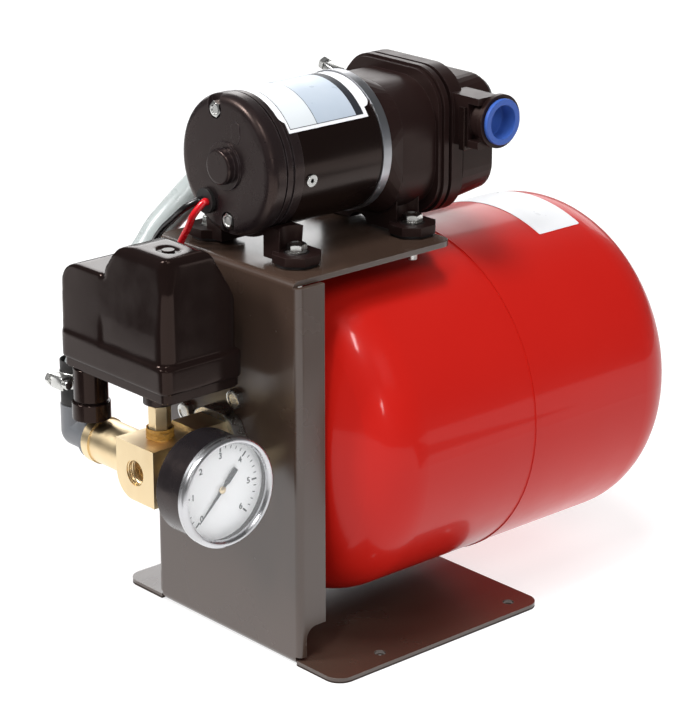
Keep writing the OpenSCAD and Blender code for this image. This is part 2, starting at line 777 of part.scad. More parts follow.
module gauge_bezel() color("#D8D8D8") difference() {
  on_gauge(gauge_depth - 6) union() {
    cylinder(r = bezel_r, h = 4.8);
    cylinder(r = bezel_r - 1.2, h = 6);
  }
  on_gauge(gauge_depth - 7) cylinder(r = gauge_case_r + thread_gap, h = 4);
  on_gauge(gauge_depth - 4) cylinder(r = gauge_case_r - 0.1, h = 2.1);
  on_gauge(gauge_depth - 4) cylinder(r = gauge_case_r - 2.6, h = 6);
}

module gauge_glass() color("#DDE6EA", 0.4)
  on_gauge(gauge_depth - 3) cylinder(r = gauge_case_r - 0.2, h = glass_t);

module gauge_dial() color("#EEEEEE") difference() {
  along_x(dial_x, cross_y, gauge_z) cylinder(r = gauge_case_r - gauge_wall - 0.1, h = 0.6);
  along_x(dial_x - 1, cross_y, gauge_z) cylinder(r = 1.2, h = 3);
}

// Inside the gauge. Outlines are in Y and Z, about the pointer's axis.

module on_pointer(x, t) translate([0, cross_y, gauge_z]) slab_yz(x, t) children();

module movement_outline() difference() {
  hull() {
    circle(5);
    translate([0, -sector_pivot]) circle(4);
  }
  circle(arbor_r + slip_gap);
  translate([0, -sector_pivot]) circle(arbor_r + slip_gap);
}

module gauge_movement() color("#CDA95A") {
  on_pointer(plate_back, plate_t) movement_outline();
  on_pointer(plate_front, plate_t) movement_outline();
  for (y = [-3, 3]) {
    on_pointer(case_x + 5.2, plate_front - case_x - 5) translate([y, 3]) circle(0.9);
    on_pointer(plate_front, dial_x - plate_front) translate([y, -3]) circle(0.9);
  }
}

module gauge_sector() color("#D8C07A") {
  on_pointer(plate_back + 2.5, 2) translate([0, -sector_pivot]) intersection() {
    circle(sector_r);
    polygon([[0, -2], [-9 * sin(42), 20], [20 * sin(5), 20]]);
  }
  on_pointer(plate_back - 0.3, plate_front - plate_back + plate_t + 0.6)
    translate([0, -sector_pivot]) circle(arbor_r);
  on_pointer(plate_back + 1.5, 4) translate([0, -sector_pivot]) circle(2);
}

module bourdon_tube() color("#C9A355") {
  translate([case_x + 8.2, cross_y, gauge_z]) rotate([0, 90, 0]) rotate_extrude(angle = 250)
    translate([21, 0]) union() {
      square([2, 4], center = true);
      for (y = [-2, 2]) translate([0, y]) circle(1);
    }
  // Block that carries the movement and the tube's fixed end
  difference() {
    union() {
      on_pointer(case_x + gauge_wall + 0.2, 4) translate([-4, -24]) square([8, 29]);
      on_pointer(case_x + gauge_wall + 0.2, 8.5) translate([-4, -24]) square([8, 5.4]);
    }
    on_pointer(case_x + gauge_wall, 1.2) circle(5.2);
  }
}

module gauge_needle() color("#222222") {
  on_pointer(needle_x, 0.5) rotate(225) {
    polygon([[0, -1], [needle_len, -0.25], [needle_len, 0.25], [0, 1]]);
    translate([-9, -1.3]) square([9, 2.6]);
    circle(2.4);
  }
  on_pointer(plate_back - 0.3, needle_x - plate_back + 0.4) circle(arbor_r);
  on_pointer(plate_back + 2, 3) circle(pinion_r);
}

// Hose, its fittings and clamps

// A hose barb with three ridges, its root at the origin
module barb(len) {
  cylinder(r = hose_bore_r - 0.5, h = len);
  for (z = [len - 5, len - 11, len - 17]) translate([0, 0, z])
    cylinder(r1 = hose_bore_r, r2 = hose_bore_r - 0.5, h = 4);
}

module hose_elbow() color("#6E7482") difference() {
  union() {
    along_x(arm_x, cross_y, tank_z) cylinder(r = arm_bore_r - thread_gap, h = 14);
    along_x(arm_x - 4, cross_y, tank_z) cylinder(r = arm_r, h = 4);
    along_x(elbow_x, cross_y, tank_z) cylinder(r = elbow_r, h = elbow_out);
    translate([elbow_x, cross_y, tank_z]) sphere(elbow_r);
    translate([elbow_x, cross_y, tank_z]) cylinder(r = elbow_r, h = 16);
    translate([elbow_x, cross_y, tank_z + 16]) barb(26);
  }
  along_x(elbow_x, cross_y, tank_z) cylinder(r = 4, h = elbow_out + 20);
  translate([elbow_x, cross_y, tank_z]) cylinder(r = 4, h = 60);
}

module hose() color("#C4C8C6") swept_hose(hose_route, hose_r, hose_bore_r + 0.3, 12, 2);

// A worm-drive clamp about the z axis, with its screw along x on the side of -y
module clamp() {
  difference() {
    union() {
      cylinder(r = hose_r + 1, h = clamp_w);
      translate([-4, -hose_r - 6.5, 0.2]) cube([12, 8, clamp_w - 0.4]);
    }
    translate([0, 0, -1]) cylinder(r = hose_r + thread_gap, h = clamp_w + 2);
    translate([-13, -hose_r - 3.8, clamp_w / 2]) rotate([0, 90, 0]) cylinder(r = 3.1, h = 26);
  }
  translate([-6, -hose_r - 3.8, clamp_w / 2]) rotate([0, 90, 0]) cylinder(r = 3, h = 16);
  translate([-8, -hose_r - 3.8, clamp_w / 2]) rotate([0, 90, 0]) hex(7, 4);
}

module hose_clamps() color("#D2D2CE") {
  translate([elbow_x, cross_y, tank_z + 27]) clamp();
  translate([out_x, port_y - out_shoulder - 14, port_z]) rotate([-90, 0, 0]) rotate([0, 0, 16]) clamp();
}

module pump_elbow() color("#3A3A3C") difference() {
  union() {
    along_x(-out_port_x, port_y, port_z) cylinder(r = port_bore_r - slip_gap, h = port_bore_len - 3);
    along_x(-out_port_x - 2.5, port_y, port_z) cylinder(r = out_r + 1.5, h = 2.5);
    along_x(out_x, port_y, port_z) cylinder(r = out_r, h = -out_port_x - out_x);
    translate([out_x, port_y, port_z]) {
      sphere(out_r);
      rotate([90, 0, 0]) cylinder(r = out_r + 0.5, h = out_shoulder);
      translate([0, -out_shoulder, 0]) rotate([90, 0, 0]) barb(24);
    }
  }
  along_x(out_x, port_y, port_z) cylinder(r = 4, h = 40);
  translate([out_x, port_y, port_z]) rotate([90, 0, 0]) cylinder(r = 4, h = 50);
}

// Pressure switch

module on_switch(z) translate([(sw_x0 + sw_x1) / 2, (sw_y0 + sw_y1) / 2, z]) children();

module switch_base() color("#1C1A1C") difference() {
  union() {
    on_switch(pan_z) linear_extrude(pan_h + lip_h)
      rounded_rect(switch_w - 2 * pan_inset - 2, switch_d - 2 * pan_inset - 2, skirt_r - 2);
    on_switch(pan_z + 1) linear_extrude(pan_h + lip_h - 1)
      rounded_rect(switch_w - 2 * pan_inset, switch_d - 2 * pan_inset, skirt_r - 1);
    on_switch(sw_z0) linear_extrude(switch_base_t + 1)
      rounded_rect(switch_w - 2 * inner_step, switch_d - 2 * inner_step, cover_r - 2);
    // Bearing blocks of the contact lever
    for (y = [-8, 5]) translate([-lever_arm - 4, cross_y + y, sw_z0]) cube([8, 3, lever_z - sw_z0 + 4]);
    // Posts under the terminal block
    for (p = [[27, 16], [13, 42]]) translate([sw_x0 + p[0], sw_y0 + p[1], sw_z0])
      cylinder(r = 2.5, h = terminal_z - sw_z0);
  }
  translate([0, cross_y, pan_z - 1]) cylinder(r = switch_boss_r + thread_gap, h = 20);
  translate([gland_x, gland_y, pan_z - 1]) cylinder(r = gland_thread_r + thread_gap, h = 20);
  translate([entry[0], entry[1], pan_z - 1]) cylinder(r = grommet_r + thread_gap, h = 20);
  translate([-lever_arm, cross_y - 9, lever_z]) rotate([-90, 0, 0]) cylinder(r = 1.6, h = 20);
}

// A block whose upright edges have radius r. Where high_r isn't 0 they open to it above height bend.
// Its top edges along x have radius top_r, those along y end_r.
module soft_block(x0, x1, y0, y1, z0, z1, r, top_r, end_r, high_r = 0, bend = 0) intersection() {
  translate([(x0 + x1) / 2, (y0 + y1) / 2, z0]) {
    linear_extrude(high_r == 0 ? z1 - z0 : bend) rounded_rect(x1 - x0, y1 - y0, r);
    if (high_r > 0) hull() {
      translate([0, 0, bend - eps]) linear_extrude(eps) rounded_rect(x1 - x0, y1 - y0, r);
      translate([0, 0, z1 - z0 - eps]) linear_extrude(eps) rounded_rect(x1 - x0, y1 - y0, high_r);
    }
  }
  slab_xz(y0, y1 - y0) translate([(x0 + x1) / 2, z1 - z0]) rounded_rect(x1 - x0, 2 * z0, end_r);
  slab_yz(x0, x1 - x0) translate([(y0 + y1) / 2, z1 - z0]) rounded_rect(y1 - y0, 2 * z0, top_r);
}

module cover_form(inset) {
  x1 = sw_x1 - skirt_step - inset;
  y0 = sw_y0 + skirt_step + inset;
  y1 = sw_y1 - skirt_step - inset;
  z0 = sw_z0 + lip_h;
  top = sw_z1 - inset;
  low = top - step_h;
  tower_x = sw_x1 - tower_w + inset;
  back_z = top - (sw_y1 - crest_y) * tan(back_slope);
  intersection() {
    union() {
      soft_block(tower_x - 20, x1, y0, y1, z0, low, cover_r - inset, low_top_r - inset, low_top_r - inset);
      intersection() {
        soft_block(sw_x0 + end_step + inset, tower_x + 20, sw_y0 + inset, sw_y1 - inset, z0, low,
          skirt_r - inset, low_top_r - inset, low_end_r - inset);
        translate([sw_x0, sw_y0, z0]) cube([tower_x - sw_x0, switch_d, switch_h]);
      }
      intersection() {
        soft_block(tower_x, x1, y0, y1, z0, top, cover_r - inset, tower_top_r - inset, tower_top_r - inset,
          tower_high_r - inset, low - z0);
        slab_xz(y0, y1 - y0) polygon([[tower_x, z0], [tower_x, low - 2], [tower_x + 2, low + 2],
          [tower_x + 11, top - 6], [tower_x + 14, top - 2.8], [tower_x + 18, top - 0.9],
          [tower_x + 25, top], [x1, top], [x1, z0]]);
      }
    }
    // The leaning front and the sloping back
    slab_yz(sw_x0, switch_w) polygon([[y0 - skirt_step, z0], [y0 + front_lean - 2.3, top - 6],
      [y0 + front_lean - 1.4, top - 3], [y0 + front_lean, top - 1], [y0 + front_lean + 2.4, top],
      [crest_y - 3, top], [crest_y, top - 1], [crest_y + 2, top - 3.2], [sw_y1, back_z], [sw_y1, z0]]);
  }
}

module switch_cover() color("#221C1C") difference() {
  union() {
    cover_form(0);
    on_switch(sw_z0 + lip_h) linear_extrude(skirt_h) rounded_rect(switch_w, switch_d, skirt_r);
  }
  difference() {
    translate([0, 0, -eps]) cover_form(cover_wall);
    translate([cover_screw_x, cross_y, sw_z1 - 7]) cylinder(r = 6, h = 10);
  }
  translate([cover_screw_x, cross_y, sw_z1 - recess_h]) linear_extrude(3) oval(7.5, 5);
  translate([cover_screw_x, cross_y, sw_z1 - 20]) cylinder(r = 2 + slip_gap, h = 25);
}

module oval(a, b) {
  square([2 * (a - b), 2 * b], center = true);
  for (x = [-1, 1]) translate([x * (a - b), 0]) circle(b);
}

module cover_screw() color("#5A5658") translate([cover_screw_x, cross_y, 0]) {
  translate([0, 0, sw_z1 - recess_h]) cylinder(r = 3.6, h = recess_h - 0.1);
  translate([0, 0, sw_z1 - 16]) cylinder(r = 2, h = 15);
}

module cable_gland() color("#1A1A1C") translate([gland_x, gland_y, pan_z - gland_h]) {
  pipe(gland_r, gland_bore_r + 1.5, gland_nut_h - 1);
  translate([0, 0, gland_nut_h - 2]) pipe(gland_r - 2.2, gland_bore_r, 3);
  translate([0, 0, gland_nut_h]) pipe(gland_r - 1.2, gland_bore_r, gland_h - gland_nut_h);
  translate([0, 0, gland_h - 1]) pipe(gland_thread_r, gland_bore_r, pan_h + switch_base_t + 2);
}

module terminal_block() color("#E4E0D6") translate([sw_x0 + 9, sw_y0 + 9, terminal_z]) difference() {
  cube(terminal_size);
  for (i = [0:3]) translate([terminal_size[0] / 2, (i + 0.5) * terminal_size[1] / 4, 6])
    cylinder(r = 2.6, h = 10);
}

module switch_flange() color("#1E1C1E") difference() {
  union() {
    translate([0, cross_y, boss_z]) cylinder(r = switch_boss_r, h = plate_top - boss_z);
    translate([0, cross_y, sw_z0 + switch_base_t + 1]) cylinder(r = 14, h = 5);
    translate([cover_screw_x, cross_y, plate_top - 1]) cylinder(r = stud_r, h = sw_z1 - 10 - plate_top);
  }
  translate([0, cross_y, boss_z - 1]) cylinder(r = nipple_r + thread_gap, h = quarter_depth + 2);
  translate([0, cross_y, boss_z]) cylinder(r = 3, h = 20);
  translate([0, cross_y, plate_top - 3]) cylinder(r = plunger_r + 0.3, h = 5);
  translate([cover_screw_x, cross_y, sw_z1 - 18]) cylinder(r = 2 + thread_gap, h = 20);
}

module switch_plunger() color("#C8C2B4") translate([0, cross_y, 0]) {
  translate([0, 0, plate_top - 2.7]) cylinder(r = plunger_r, h = 1.5);
  translate([0, 0, plate_top - 2]) cylinder(r = 4, h = lever_z - lever_t / 2 - 0.3 - plate_top + 2);
}

module contact_lever() color("#D9D9D9") translate([-lever_arm, cross_y, lever_z]) {
  translate([-lever_arm - 5, -4.6, -lever_t / 2]) cube([2 * lever_arm + 10, 9.2, lever_t]);
  // Seat of the main spring, and the contact at the other end
  for (x = [-lever_arm, lever_arm]) translate([x, 0, 0]) cylinder(r = 3.8, h = lever_t / 2 + 1.2);
  rotate([90, 0, 0]) cylinder(r = 1.5, h = 16, center = true);
  rotate([90, 0, 0]) cylinder(r = 3, h = 9.2, center = true);
}

module switch_spring() color("#BEBEBA") swept_tube(
  [for (i = [0:40]) [5.2 * cos(i * 54), cross_y + 5.2 * sin(i * 54), lever_z + lever_t / 2 + 1 + i * 0.6]],
  0.9, 6, 2);

// Wires from the motor to the switch

module red_wire() color("#D82834") swept_tube(red_route, wire_r, 8, 2);

module black_wire() color("#1A1A1A") swept_tube(black_route, wire_r, 8, 2);

// A grommet for two wires, seated on the plane z = 0, its neck towards +z
module wire_grommet(neck) difference() {
  union() {
    translate([0, 0, -2.5]) cylinder(r = grommet_r + 1.6, h = 2.5);
    translate([0, 0, -1]) cylinder(r = grommet_r, h = neck + 1);
  }
  for (x = [-wire_side, wire_side]) translate([x, 0, -4]) cylinder(r = wire_r + thread_gap, h = neck + 8);
}

module grommets() color("#161416") {
  along_y(cap_face, grommet_at[0], motor_z + grommet_at[1]) wire_grommet(5);
  translate([entry[0], entry[1], pan_z]) wire_grommet(pan_h + switch_base_t + 1);
}

// Motor

module on_axis(y) along_y(y, z = motor_z) children();

// Half of the end cap's section, from its axis outwards, with z = 0 at the rim
module cap_section() difference() {
  union() {
    polygon([[0, -cap_edge], [cap_r - cap_edge, -cap_edge], [cap_r - cap_edge, 0], [cap_r, 0], [cap_r, 5],
      [can_r - 1.2, 5], [can_r - 1.2, 6.5], [can_r + 0.1, 6.5], [can_r + 0.1, 10], [can_r - 1.2, 10],
      [can_r - 1.2, 11.5], [can_r + 0.1, 11.5], [can_r + 0.1, cap_len], [0, cap_len]]);
    translate([cap_r - cap_edge, 0]) circle(cap_edge);
    translate([0, -cap_edge - 1.2]) square([boss_r + 3.5, 3]);
    translate([0, -cap_edge - boss_h + 1.5]) square([boss_r, 3]);
    translate([0, -cap_edge - boss_h]) square([boss_r - 1.5, 3]);
    translate([boss_r - 1.5, -cap_edge - boss_h + 1.5]) circle(1.5);
  }
  translate([boss_r, 0]) square([can_r - 3.5 - boss_r, cap_len + 1]);
  translate([-1, 7]) square([boss_r + 2, cap_len]);
  translate([-can_r, -cap_edge - boss_h - 1]) square([can_r, can_r]);
}

module motor_cap() color("#3A3234") difference() {
  union() {
    on_axis(rim_y) rotate_extrude($fn = 96) cap_section();
    on_motor(22.1, 64.5) slab_xz(cap_face - 0.4, 1) rounded_rect(7, 12, 3.4);
  }
  on_axis(cap_face - boss_h + 3) cylinder(r = shaft_r + thread_gap, h = 40);
  for (a = through_a) on_motor(through_r, a) {
    rotate([0, -a, 0]) slab_xz(cap_face - 1, 5) bolt_seat();
    along_y(cap_face) cylinder(r = 2.3, h = 30);
  }
  translate([grommet_at[0], 0, motor_z + grommet_at[1]])
    along_y(cap_face - 1) cylinder(r = grommet_r + thread_gap, h = 12);
}

// The outline of a through bolt's seat, open to the cap's edge
module bolt_seat() {
  circle(5.2);
  translate([0, -5.2]) square([12, 10.4]);
}

module motor_can() color("#1B1516") difference() {
  on_axis(rim_y + cap_len) pipe(can_r, can_r - can_wall, motor_len - cap_len);
  on_rivet() {
    cylinder(r = 1.9 + thread_gap, h = can_r + 2);
    translate([0, 0, can_r - rivet_sink]) cylinder(r = rivet_head_r + thread_gap, h = 3);
  }
}

// The rivet's place on the can, z outwards
module on_rivet() translate([0, rivet_y, motor_z]) rotate([0, 90 + rivet_a, 0]) children();

module can_rivet() color("#D5D5D2") on_rivet() difference() {
  union() {
    translate([0, 0, can_r - rivet_sink]) cylinder(r = rivet_head_r, h = 1.4);
    translate([0, 0, can_r - can_wall + 0.1]) cylinder(r = 1.9, h = can_wall);
  }
  translate([0, 0, can_r - 5]) cylinder(r = 1.1, h = 10);
}

module through_bolts() color("#D0D0CC") for (a = through_a) on_motor(through_r, a) {
  along_y(cap_face - 0.3) hex(8, 4.2);
  along_y(cap_face + 3) cylinder(r = 2, h = ring_y + ring_w - cap_face - 3);
}

module magnets() color("#3C3C40") for (a = [-50, 130])
  on_axis(rim_y + cap_len + 4) rotate([0, 0, a]) rotate_extrude(angle = 100)
    translate([can_r - can_wall - magnet_t - thread_gap, 0]) square([magnet_t, motor_len - cap_len - 10]);

module rotor_shaft() color("#C0C0C0") on_axis(cap_face - boss_h + 3.3)
  cylinder(r = shaft_r, h = housing_y + 24 - cap_face + boss_h);

module armature() color("#6A5A4A") difference() {
  union() {
    on_axis(armature_y) cylinder(r = armature_r, h = armature_len);
    on_axis(armature_y - 4) cylinder(r = armature_r - 6, h = armature_len + 6);
  }
  for (a = [0:45:315]) on_motor(armature_r, a) along_y(armature_y - 1) cylinder(r = 3, h = armature_len + 2);
  on_axis(armature_y - 5) cylinder(r = shaft_r + 0.01, h = armature_len + 10);
}

module commutator() color("#C07A4A") difference() {
  on_axis(armature_y - 17) cylinder(r = 11, h = 13);
  on_axis(armature_y - 18) cylinder(r = shaft_r + 0.01, h = 15);
  for (a = [0:45:315]) on_motor(11, a) rotate([0, -a, 0])
    translate([-1, armature_y - 18, -0.3]) cube([3, 14, 0.6]);
}

module brush_gear() color("#4A4038") {
  difference() {
    on_axis(armature_y - 19) cylinder(r = can_r - 3.7, h = 1.5);
    on_axis(armature_y - 20) cylinder(r = boss_r + 0.5, h = 4);
    for (a = through_a) on_motor(through_r, a) along_y(armature_y - 20) cylinder(r = 3, h = 4);
  }
  for (a = [0, 180]) on_axis(armature_y - 17.51) rotate([0, 0, a]) translate([11.3, -3, 0]) cube([18, 6, 9]);
}

module motor_ring() color("#A8A4A2") difference() {
  on_axis(ring_y) cylinder(r = can_r + ring_step, h = ring_w);
  on_axis(ring_y - 1) cylinder(r = shaft_r + thread_gap, h = ring_w + 2);
  for (a = through_a) on_motor(through_r, a) along_y(ring_y - 1) cylinder(r = 2 + thread_gap, h = ring_w + 2);
}

// Pump

module on_square(y, t, w, r) slab_xz(y, t) translate([0, pump_z]) rounded_rect(w, w, r);

// A plate of the flange joint, which is 2 mm higher than wide
module on_flange(y, t, w, r) slab_xz(y, t) translate([0, pump_z + 1]) rounded_rect(w, w + 2, r);

module pump_housing() color("#2B2020") difference() {
  union() {
    hull() {
      on_axis(housing_y) cylinder(r = can_r, h = 1, $fn = 48);
      on_square(housing_y + 9, 1, housing_w, housing_r, $fn = 32);
    }
    on_square(housing_y + 10, housing_len - 9, housing_w, housing_r);
    on_flange(pump_flange_y, 2.5, pump_flange_w - 3, pump_flange_r - 1);
    on_flange(pump_flange_y + 2, 1.5, pump_flange_w - 6, pump_flange_r - 2);
    on_flange(pump_flange_y + 3, pump_flange_t - 3, pump_flange_w, pump_flange_r);
  }
  on_axis(housing_y + 5) cylinder(r = cavity_r, h = housing_len + pump_flange_t);
  on_axis(housing_y - 1) cylinder(r = shaft_r + thread_gap, h = 8);
  each_head_screw() along_y(pump_flange_y + 1.5) cylinder(r = 1.8, h = pump_flange_t);
}

module each_head_screw() for (x = [-head_screw_at, head_screw_at], z = [-head_screw_at, head_screw_at])
  translate([x, 0, pump_z + z]) children();

module eccentric() color("#B0AEA8") difference() {
  translate([0, cam_y + 5, motor_z]) rotate([3, 0, 0]) along_y(-4) cylinder(r = 10, h = 8);
  on_axis(cam_y - 5) cylinder(r = shaft_r + 0.01, h = 20);
}

module wobble_plate() color("#8A8A86") difference() {
  union() {
    on_axis(cam_y - 1) cylinder(r = 15, h = 14);
    on_axis(cam_y + 12) cylinder(r = cavity_r - 1, h = 4);
    for (a = [90, 210, 330]) on_motor(18, a)
      along_y(cam_y + 15) cylinder(r = 9, h = diaphragm_y - cam_y - 15);
  }
  on_axis(cam_y - 2) cylinder(r = 10.9, h = 13);
  on_axis(cam_y) cylinder(r = 5, h = 20);
}

module diaphragm() color("#141416") difference() {
  on_square(diaphragm_y, diaphragm_t, pump_flange_w - 5, pump_flange_r - 2.5);
  each_head_screw() along_y(diaphragm_y - 1) cylinder(r = 1.8, h = diaphragm_t + 2);
}

module head_dome() hull() {
  dome_slab(0, -3, 0, -13, 22);
  dome_slab(0.76 * head_len + 1, 0.5, 0, -15, 18);
  dome_slab(head_len, 0, -11, -21, 13);
}

// A thin slice of the dome that ends at s, its middle raised by dz, its sides dw and dh off the head's
module dome_slab(s, dz, dw, dh, r) slab_xz(head_back + s - 1, 1)
  translate([0, pump_z + dz]) rounded_rect(head_w + dw, head_w + dh, r, $fn = 32);

module head_port(mouth) {
  difference() {
    translate([head_w / 2 - 6, port_y - block_side / 2, port_z - block_side / 2])
      cube([mouth - head_w / 2 + 3, block_side / 2 + 1, block_side]);
    // Window beside the collar, in the side that faces the motor
    translate([mouth - 11, port_y - block_side / 2 - 1, port_z - 10.5]) cube([8, 6, 21]);
  }
  along_x(head_w / 2 - 6, port_y, port_z) cylinder(r = port_bore_r + 1.3, h = mouth - head_w / 2 + 6);
  along_x(mouth - 3, port_y, port_z) cylinder(r = collar_r, h = 3);
}

module pump_head() color("#2A2020") difference() {
  union() {
    on_flange(head_y, head_flange_t - 2, pump_flange_w, pump_flange_r);
    on_flange(head_y + 1, head_flange_t - 1, pump_flange_w - 3, pump_flange_r - 1.5);
    head_dome();
    head_port(port_x);
    mirror([1, 0, 0]) head_port(out_port_x);
  }
  along_x(port_x - port_bore_len, port_y, port_z) cylinder(r = port_bore_r, h = port_bore_len + 1);
  along_x(-out_port_x - 1, port_y, port_z) cylinder(r = port_bore_r, h = port_bore_len + 1);
  for (m = [0, 1]) mirror([m, 0, 0]) along_x(8, port_y, port_z) cylinder(r = 4.3, h = out_port_x - 10);
  on_motor(18, 90) along_y(head_y - 1) cylinder(r = 6, h = 4);
  each_head_screw() {
    along_y(head_y - 1) cylinder(r = 2.2, h = head_flange_t + 2);
    along_y(head_y + head_flange_t - 2) cylinder(r = 4.4, h = head_len + 5);
  }
}

module head_screws() color("#B8B8B4") each_head_screw() {
  along_y(head_y + head_flange_t - 2) cylinder(r = 3.8, h = 3);
  along_y(pump_flange_y + 2) cylinder(r = 1.75, h = head_y + head_flange_t - 3 - pump_flange_y);
}

// A slide clip that grips a port's block from below
module port_clip() slab_yz(head_w / 2 + 6, 4.5) translate([port_y, port_z]) difference() {
  translate([-block_side / 2 - 2, -block_side / 2 - 2]) square([block_side + 4, block_side - 4]);
  translate([-block_side / 2 - 0.1, -block_side / 2 - 0.1]) square([block_side + 0.2, block_side]);
}

module port_clips() color("#1A1414") port_clip();

module inlet_plug() color("#3E5EC0") difference() {
  union() {
    along_x(port_x - 10, port_y, port_z) cylinder(r = port_bore_r - slip_gap, h = 11);
    along_x(port_x, port_y, port_z) cylinder(r = plug_d / 2, h = plug_rim_t);
  }
  along_x(port_x - 8, port_y, port_z) cylinder(r = 9.5, h = 20);
}

// Feet and what holds the pump down

module ear_outline() {
  for (x = [-foot_x, foot_x]) translate([x, 0]) rotate(22.5) circle(d = ear_af / cos(22.5), $fn = 8);
}

module ears(y) translate([0, y, ear_z]) linear_extrude(ear_t) difference() {
  union() {
    ear_outline();
    for (x = [-1, 1]) translate([x * (foot_x - 8) - 8, -saddle_len / 2]) square([16, saddle_len]);
  }
  for (x = [-foot_x, foot_x]) translate([x, 0]) circle(neck_r + thread_gap);
}

module front_saddle() color("#221C1C") {
  ears(foot_y[0]);
  difference() {
    slab_xz(foot_y[0] - saddle_len / 2, saddle_len) difference() {
      union() {
        intersection() {
          translate([0, motor_z]) circle(can_r + saddle_t);
          translate([-60, shelf_z]) square([120, motor_lift - wing_drop]);
        }
        for (m = [0, 1]) mirror([m, 0]) polygon([[18, ear_z], [foot_x - 5, ear_z], [foot_x - 5, foot_top + 3],
          [foot_x - 4, motor_z - wing_drop], [18, motor_z - wing_drop]]);
      }
      translate([0, motor_z]) circle(can_r + 0.2);
      translate([-60, shelf_z - 1]) square([120, foot_h + 1]);
    }
    each_foot() foot_room();
  }
}

// Room for a rubber foot and for a socket on its bolt
module foot_room() {
  translate([0, 0, shelf_z]) cylinder(r = neck_r + thread_gap, h = 20);
  translate([0, 0, foot_top]) cylinder(r = 9, h = 30);
}

module rear_saddle() color("#221C1C") {
  ears(foot_y[1]);
  difference() {
    slab_xz(foot_y[1] - saddle_len / 2, saddle_len) difference() {
      translate([-32, ear_z]) square([64, 22]);
      translate([0, pump_z])
        rounded_rect(housing_w + 2 * thread_gap, housing_w + 2 * thread_gap, housing_r + thread_gap);
      translate([0, ear_z - 4]) circle(8.5);
    }
    each_foot() foot_room();
  }
}

module feet() color("#181616") each_foot() translate([0, 0, shelf_z]) difference() {
  union() {
    cylinder(r = foot_r, h = foot_h);
    cylinder(r = neck_r, h = foot_h + ear_t);
  }
  translate([0, 0, -1]) cylinder(r = foot_bolt_r + slip_gap, h = 30);
}

module foot_bolts() color("#DADAD6") each_foot() {
  translate([0, 0, foot_top]) cylinder(r = washer_r, h = washer_t);
  translate([0, 0, foot_top + washer_t]) hex(screw_af, screw_head_h);
  translate([0, 0, shelf_under - foot_bolt_reach])
    cylinder(r = foot_bolt_r, h = foot_top - shelf_under + foot_bolt_reach + 1);
}

module rivet_nuts() color("#CFCFCB") each_foot() translate([0, 0, shelf_under - rivet_nut_len]) difference() {
  union() {
    cylinder(r = rivet_r, h = rivet_nut_len + sheet_t);
    translate([0, 0, rivet_nut_len - 3]) cylinder(r = rivet_r + 1.3, h = 3);
  }
  translate([0, 0, -1]) cylinder(r = foot_bolt_r + thread_gap, h = 40);
}

bracket();
tank_front_shell();
tank_rear_shell();
tank_bladder();
tank_flange();
tank_screws();
lock_nut();
air_valve();
valve_core();
valve_cap();
manifold();
switch_nipple();
gauge_stem();
gauge_case();
gauge_bezel();
gauge_glass();
gauge_dial();
gauge_needle();
gauge_movement();
gauge_sector();
bourdon_tube();
hose_elbow();
hose();
hose_clamps();
pump_elbow();
switch_base();
switch_cover();
cover_screw();
cable_gland();
head_screws();
terminal_block();
contact_lever();
switch_plunger();
switch_spring();
switch_flange();
red_wire();
black_wire();
grommets();
motor_can();
motor_cap();
through_bolts();
magnets();
rotor_shaft();
armature();
commutator();
brush_gear();
motor_ring();
can_rivet();
pump_housing();
eccentric();
wobble_plate();
diaphragm();
pump_head();
port_clips();
inlet_plug();
front_saddle();
rear_saddle();
feet();
foot_bolts();
rivet_nuts();
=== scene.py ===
"""Looks of the booster pump set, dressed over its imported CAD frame.

Lengths in the piece functions are millimetres in the row frame, and each mesh is turned to metres once, when
its object is made.
"""

import json
import math

import bmesh
import bpy
from mathutils import Matrix, Vector, noise


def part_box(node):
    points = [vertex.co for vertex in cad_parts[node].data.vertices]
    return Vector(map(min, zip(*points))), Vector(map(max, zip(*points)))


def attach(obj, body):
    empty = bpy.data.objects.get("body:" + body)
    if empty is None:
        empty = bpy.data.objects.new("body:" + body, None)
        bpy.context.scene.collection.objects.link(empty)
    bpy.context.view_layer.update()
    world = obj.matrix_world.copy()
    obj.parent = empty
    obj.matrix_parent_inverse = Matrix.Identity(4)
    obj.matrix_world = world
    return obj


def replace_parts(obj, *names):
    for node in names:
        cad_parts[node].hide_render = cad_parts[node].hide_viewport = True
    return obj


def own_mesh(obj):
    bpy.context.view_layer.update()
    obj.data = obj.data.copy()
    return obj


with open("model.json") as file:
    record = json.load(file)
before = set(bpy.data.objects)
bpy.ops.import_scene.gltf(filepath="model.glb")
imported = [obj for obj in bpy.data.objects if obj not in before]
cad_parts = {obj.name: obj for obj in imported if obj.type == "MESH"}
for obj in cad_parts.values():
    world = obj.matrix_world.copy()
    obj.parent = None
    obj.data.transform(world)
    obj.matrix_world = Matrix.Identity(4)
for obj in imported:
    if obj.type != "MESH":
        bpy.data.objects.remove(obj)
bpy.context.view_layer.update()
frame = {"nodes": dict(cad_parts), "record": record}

bl_info = {
    "name": "Booster pump set looks",
    "version": (1, 0, 0),
    "blender": (4, 5, 0),
    "location": "View3D > Sidebar > Pump set",
    "description": "Materials and detailed pieces for a booster pump set",
    "category": "Object",
}

MM = 0.001
SET = "set"


def span(node):
    """Lowest and highest corner of a CAD node, in millimetres."""
    low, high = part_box(node)
    return low / MM, high / MM


def middle(node):
    """Middle of a CAD node's box, in millimetres."""
    low, high = span(node)
    return (low + high) / 2


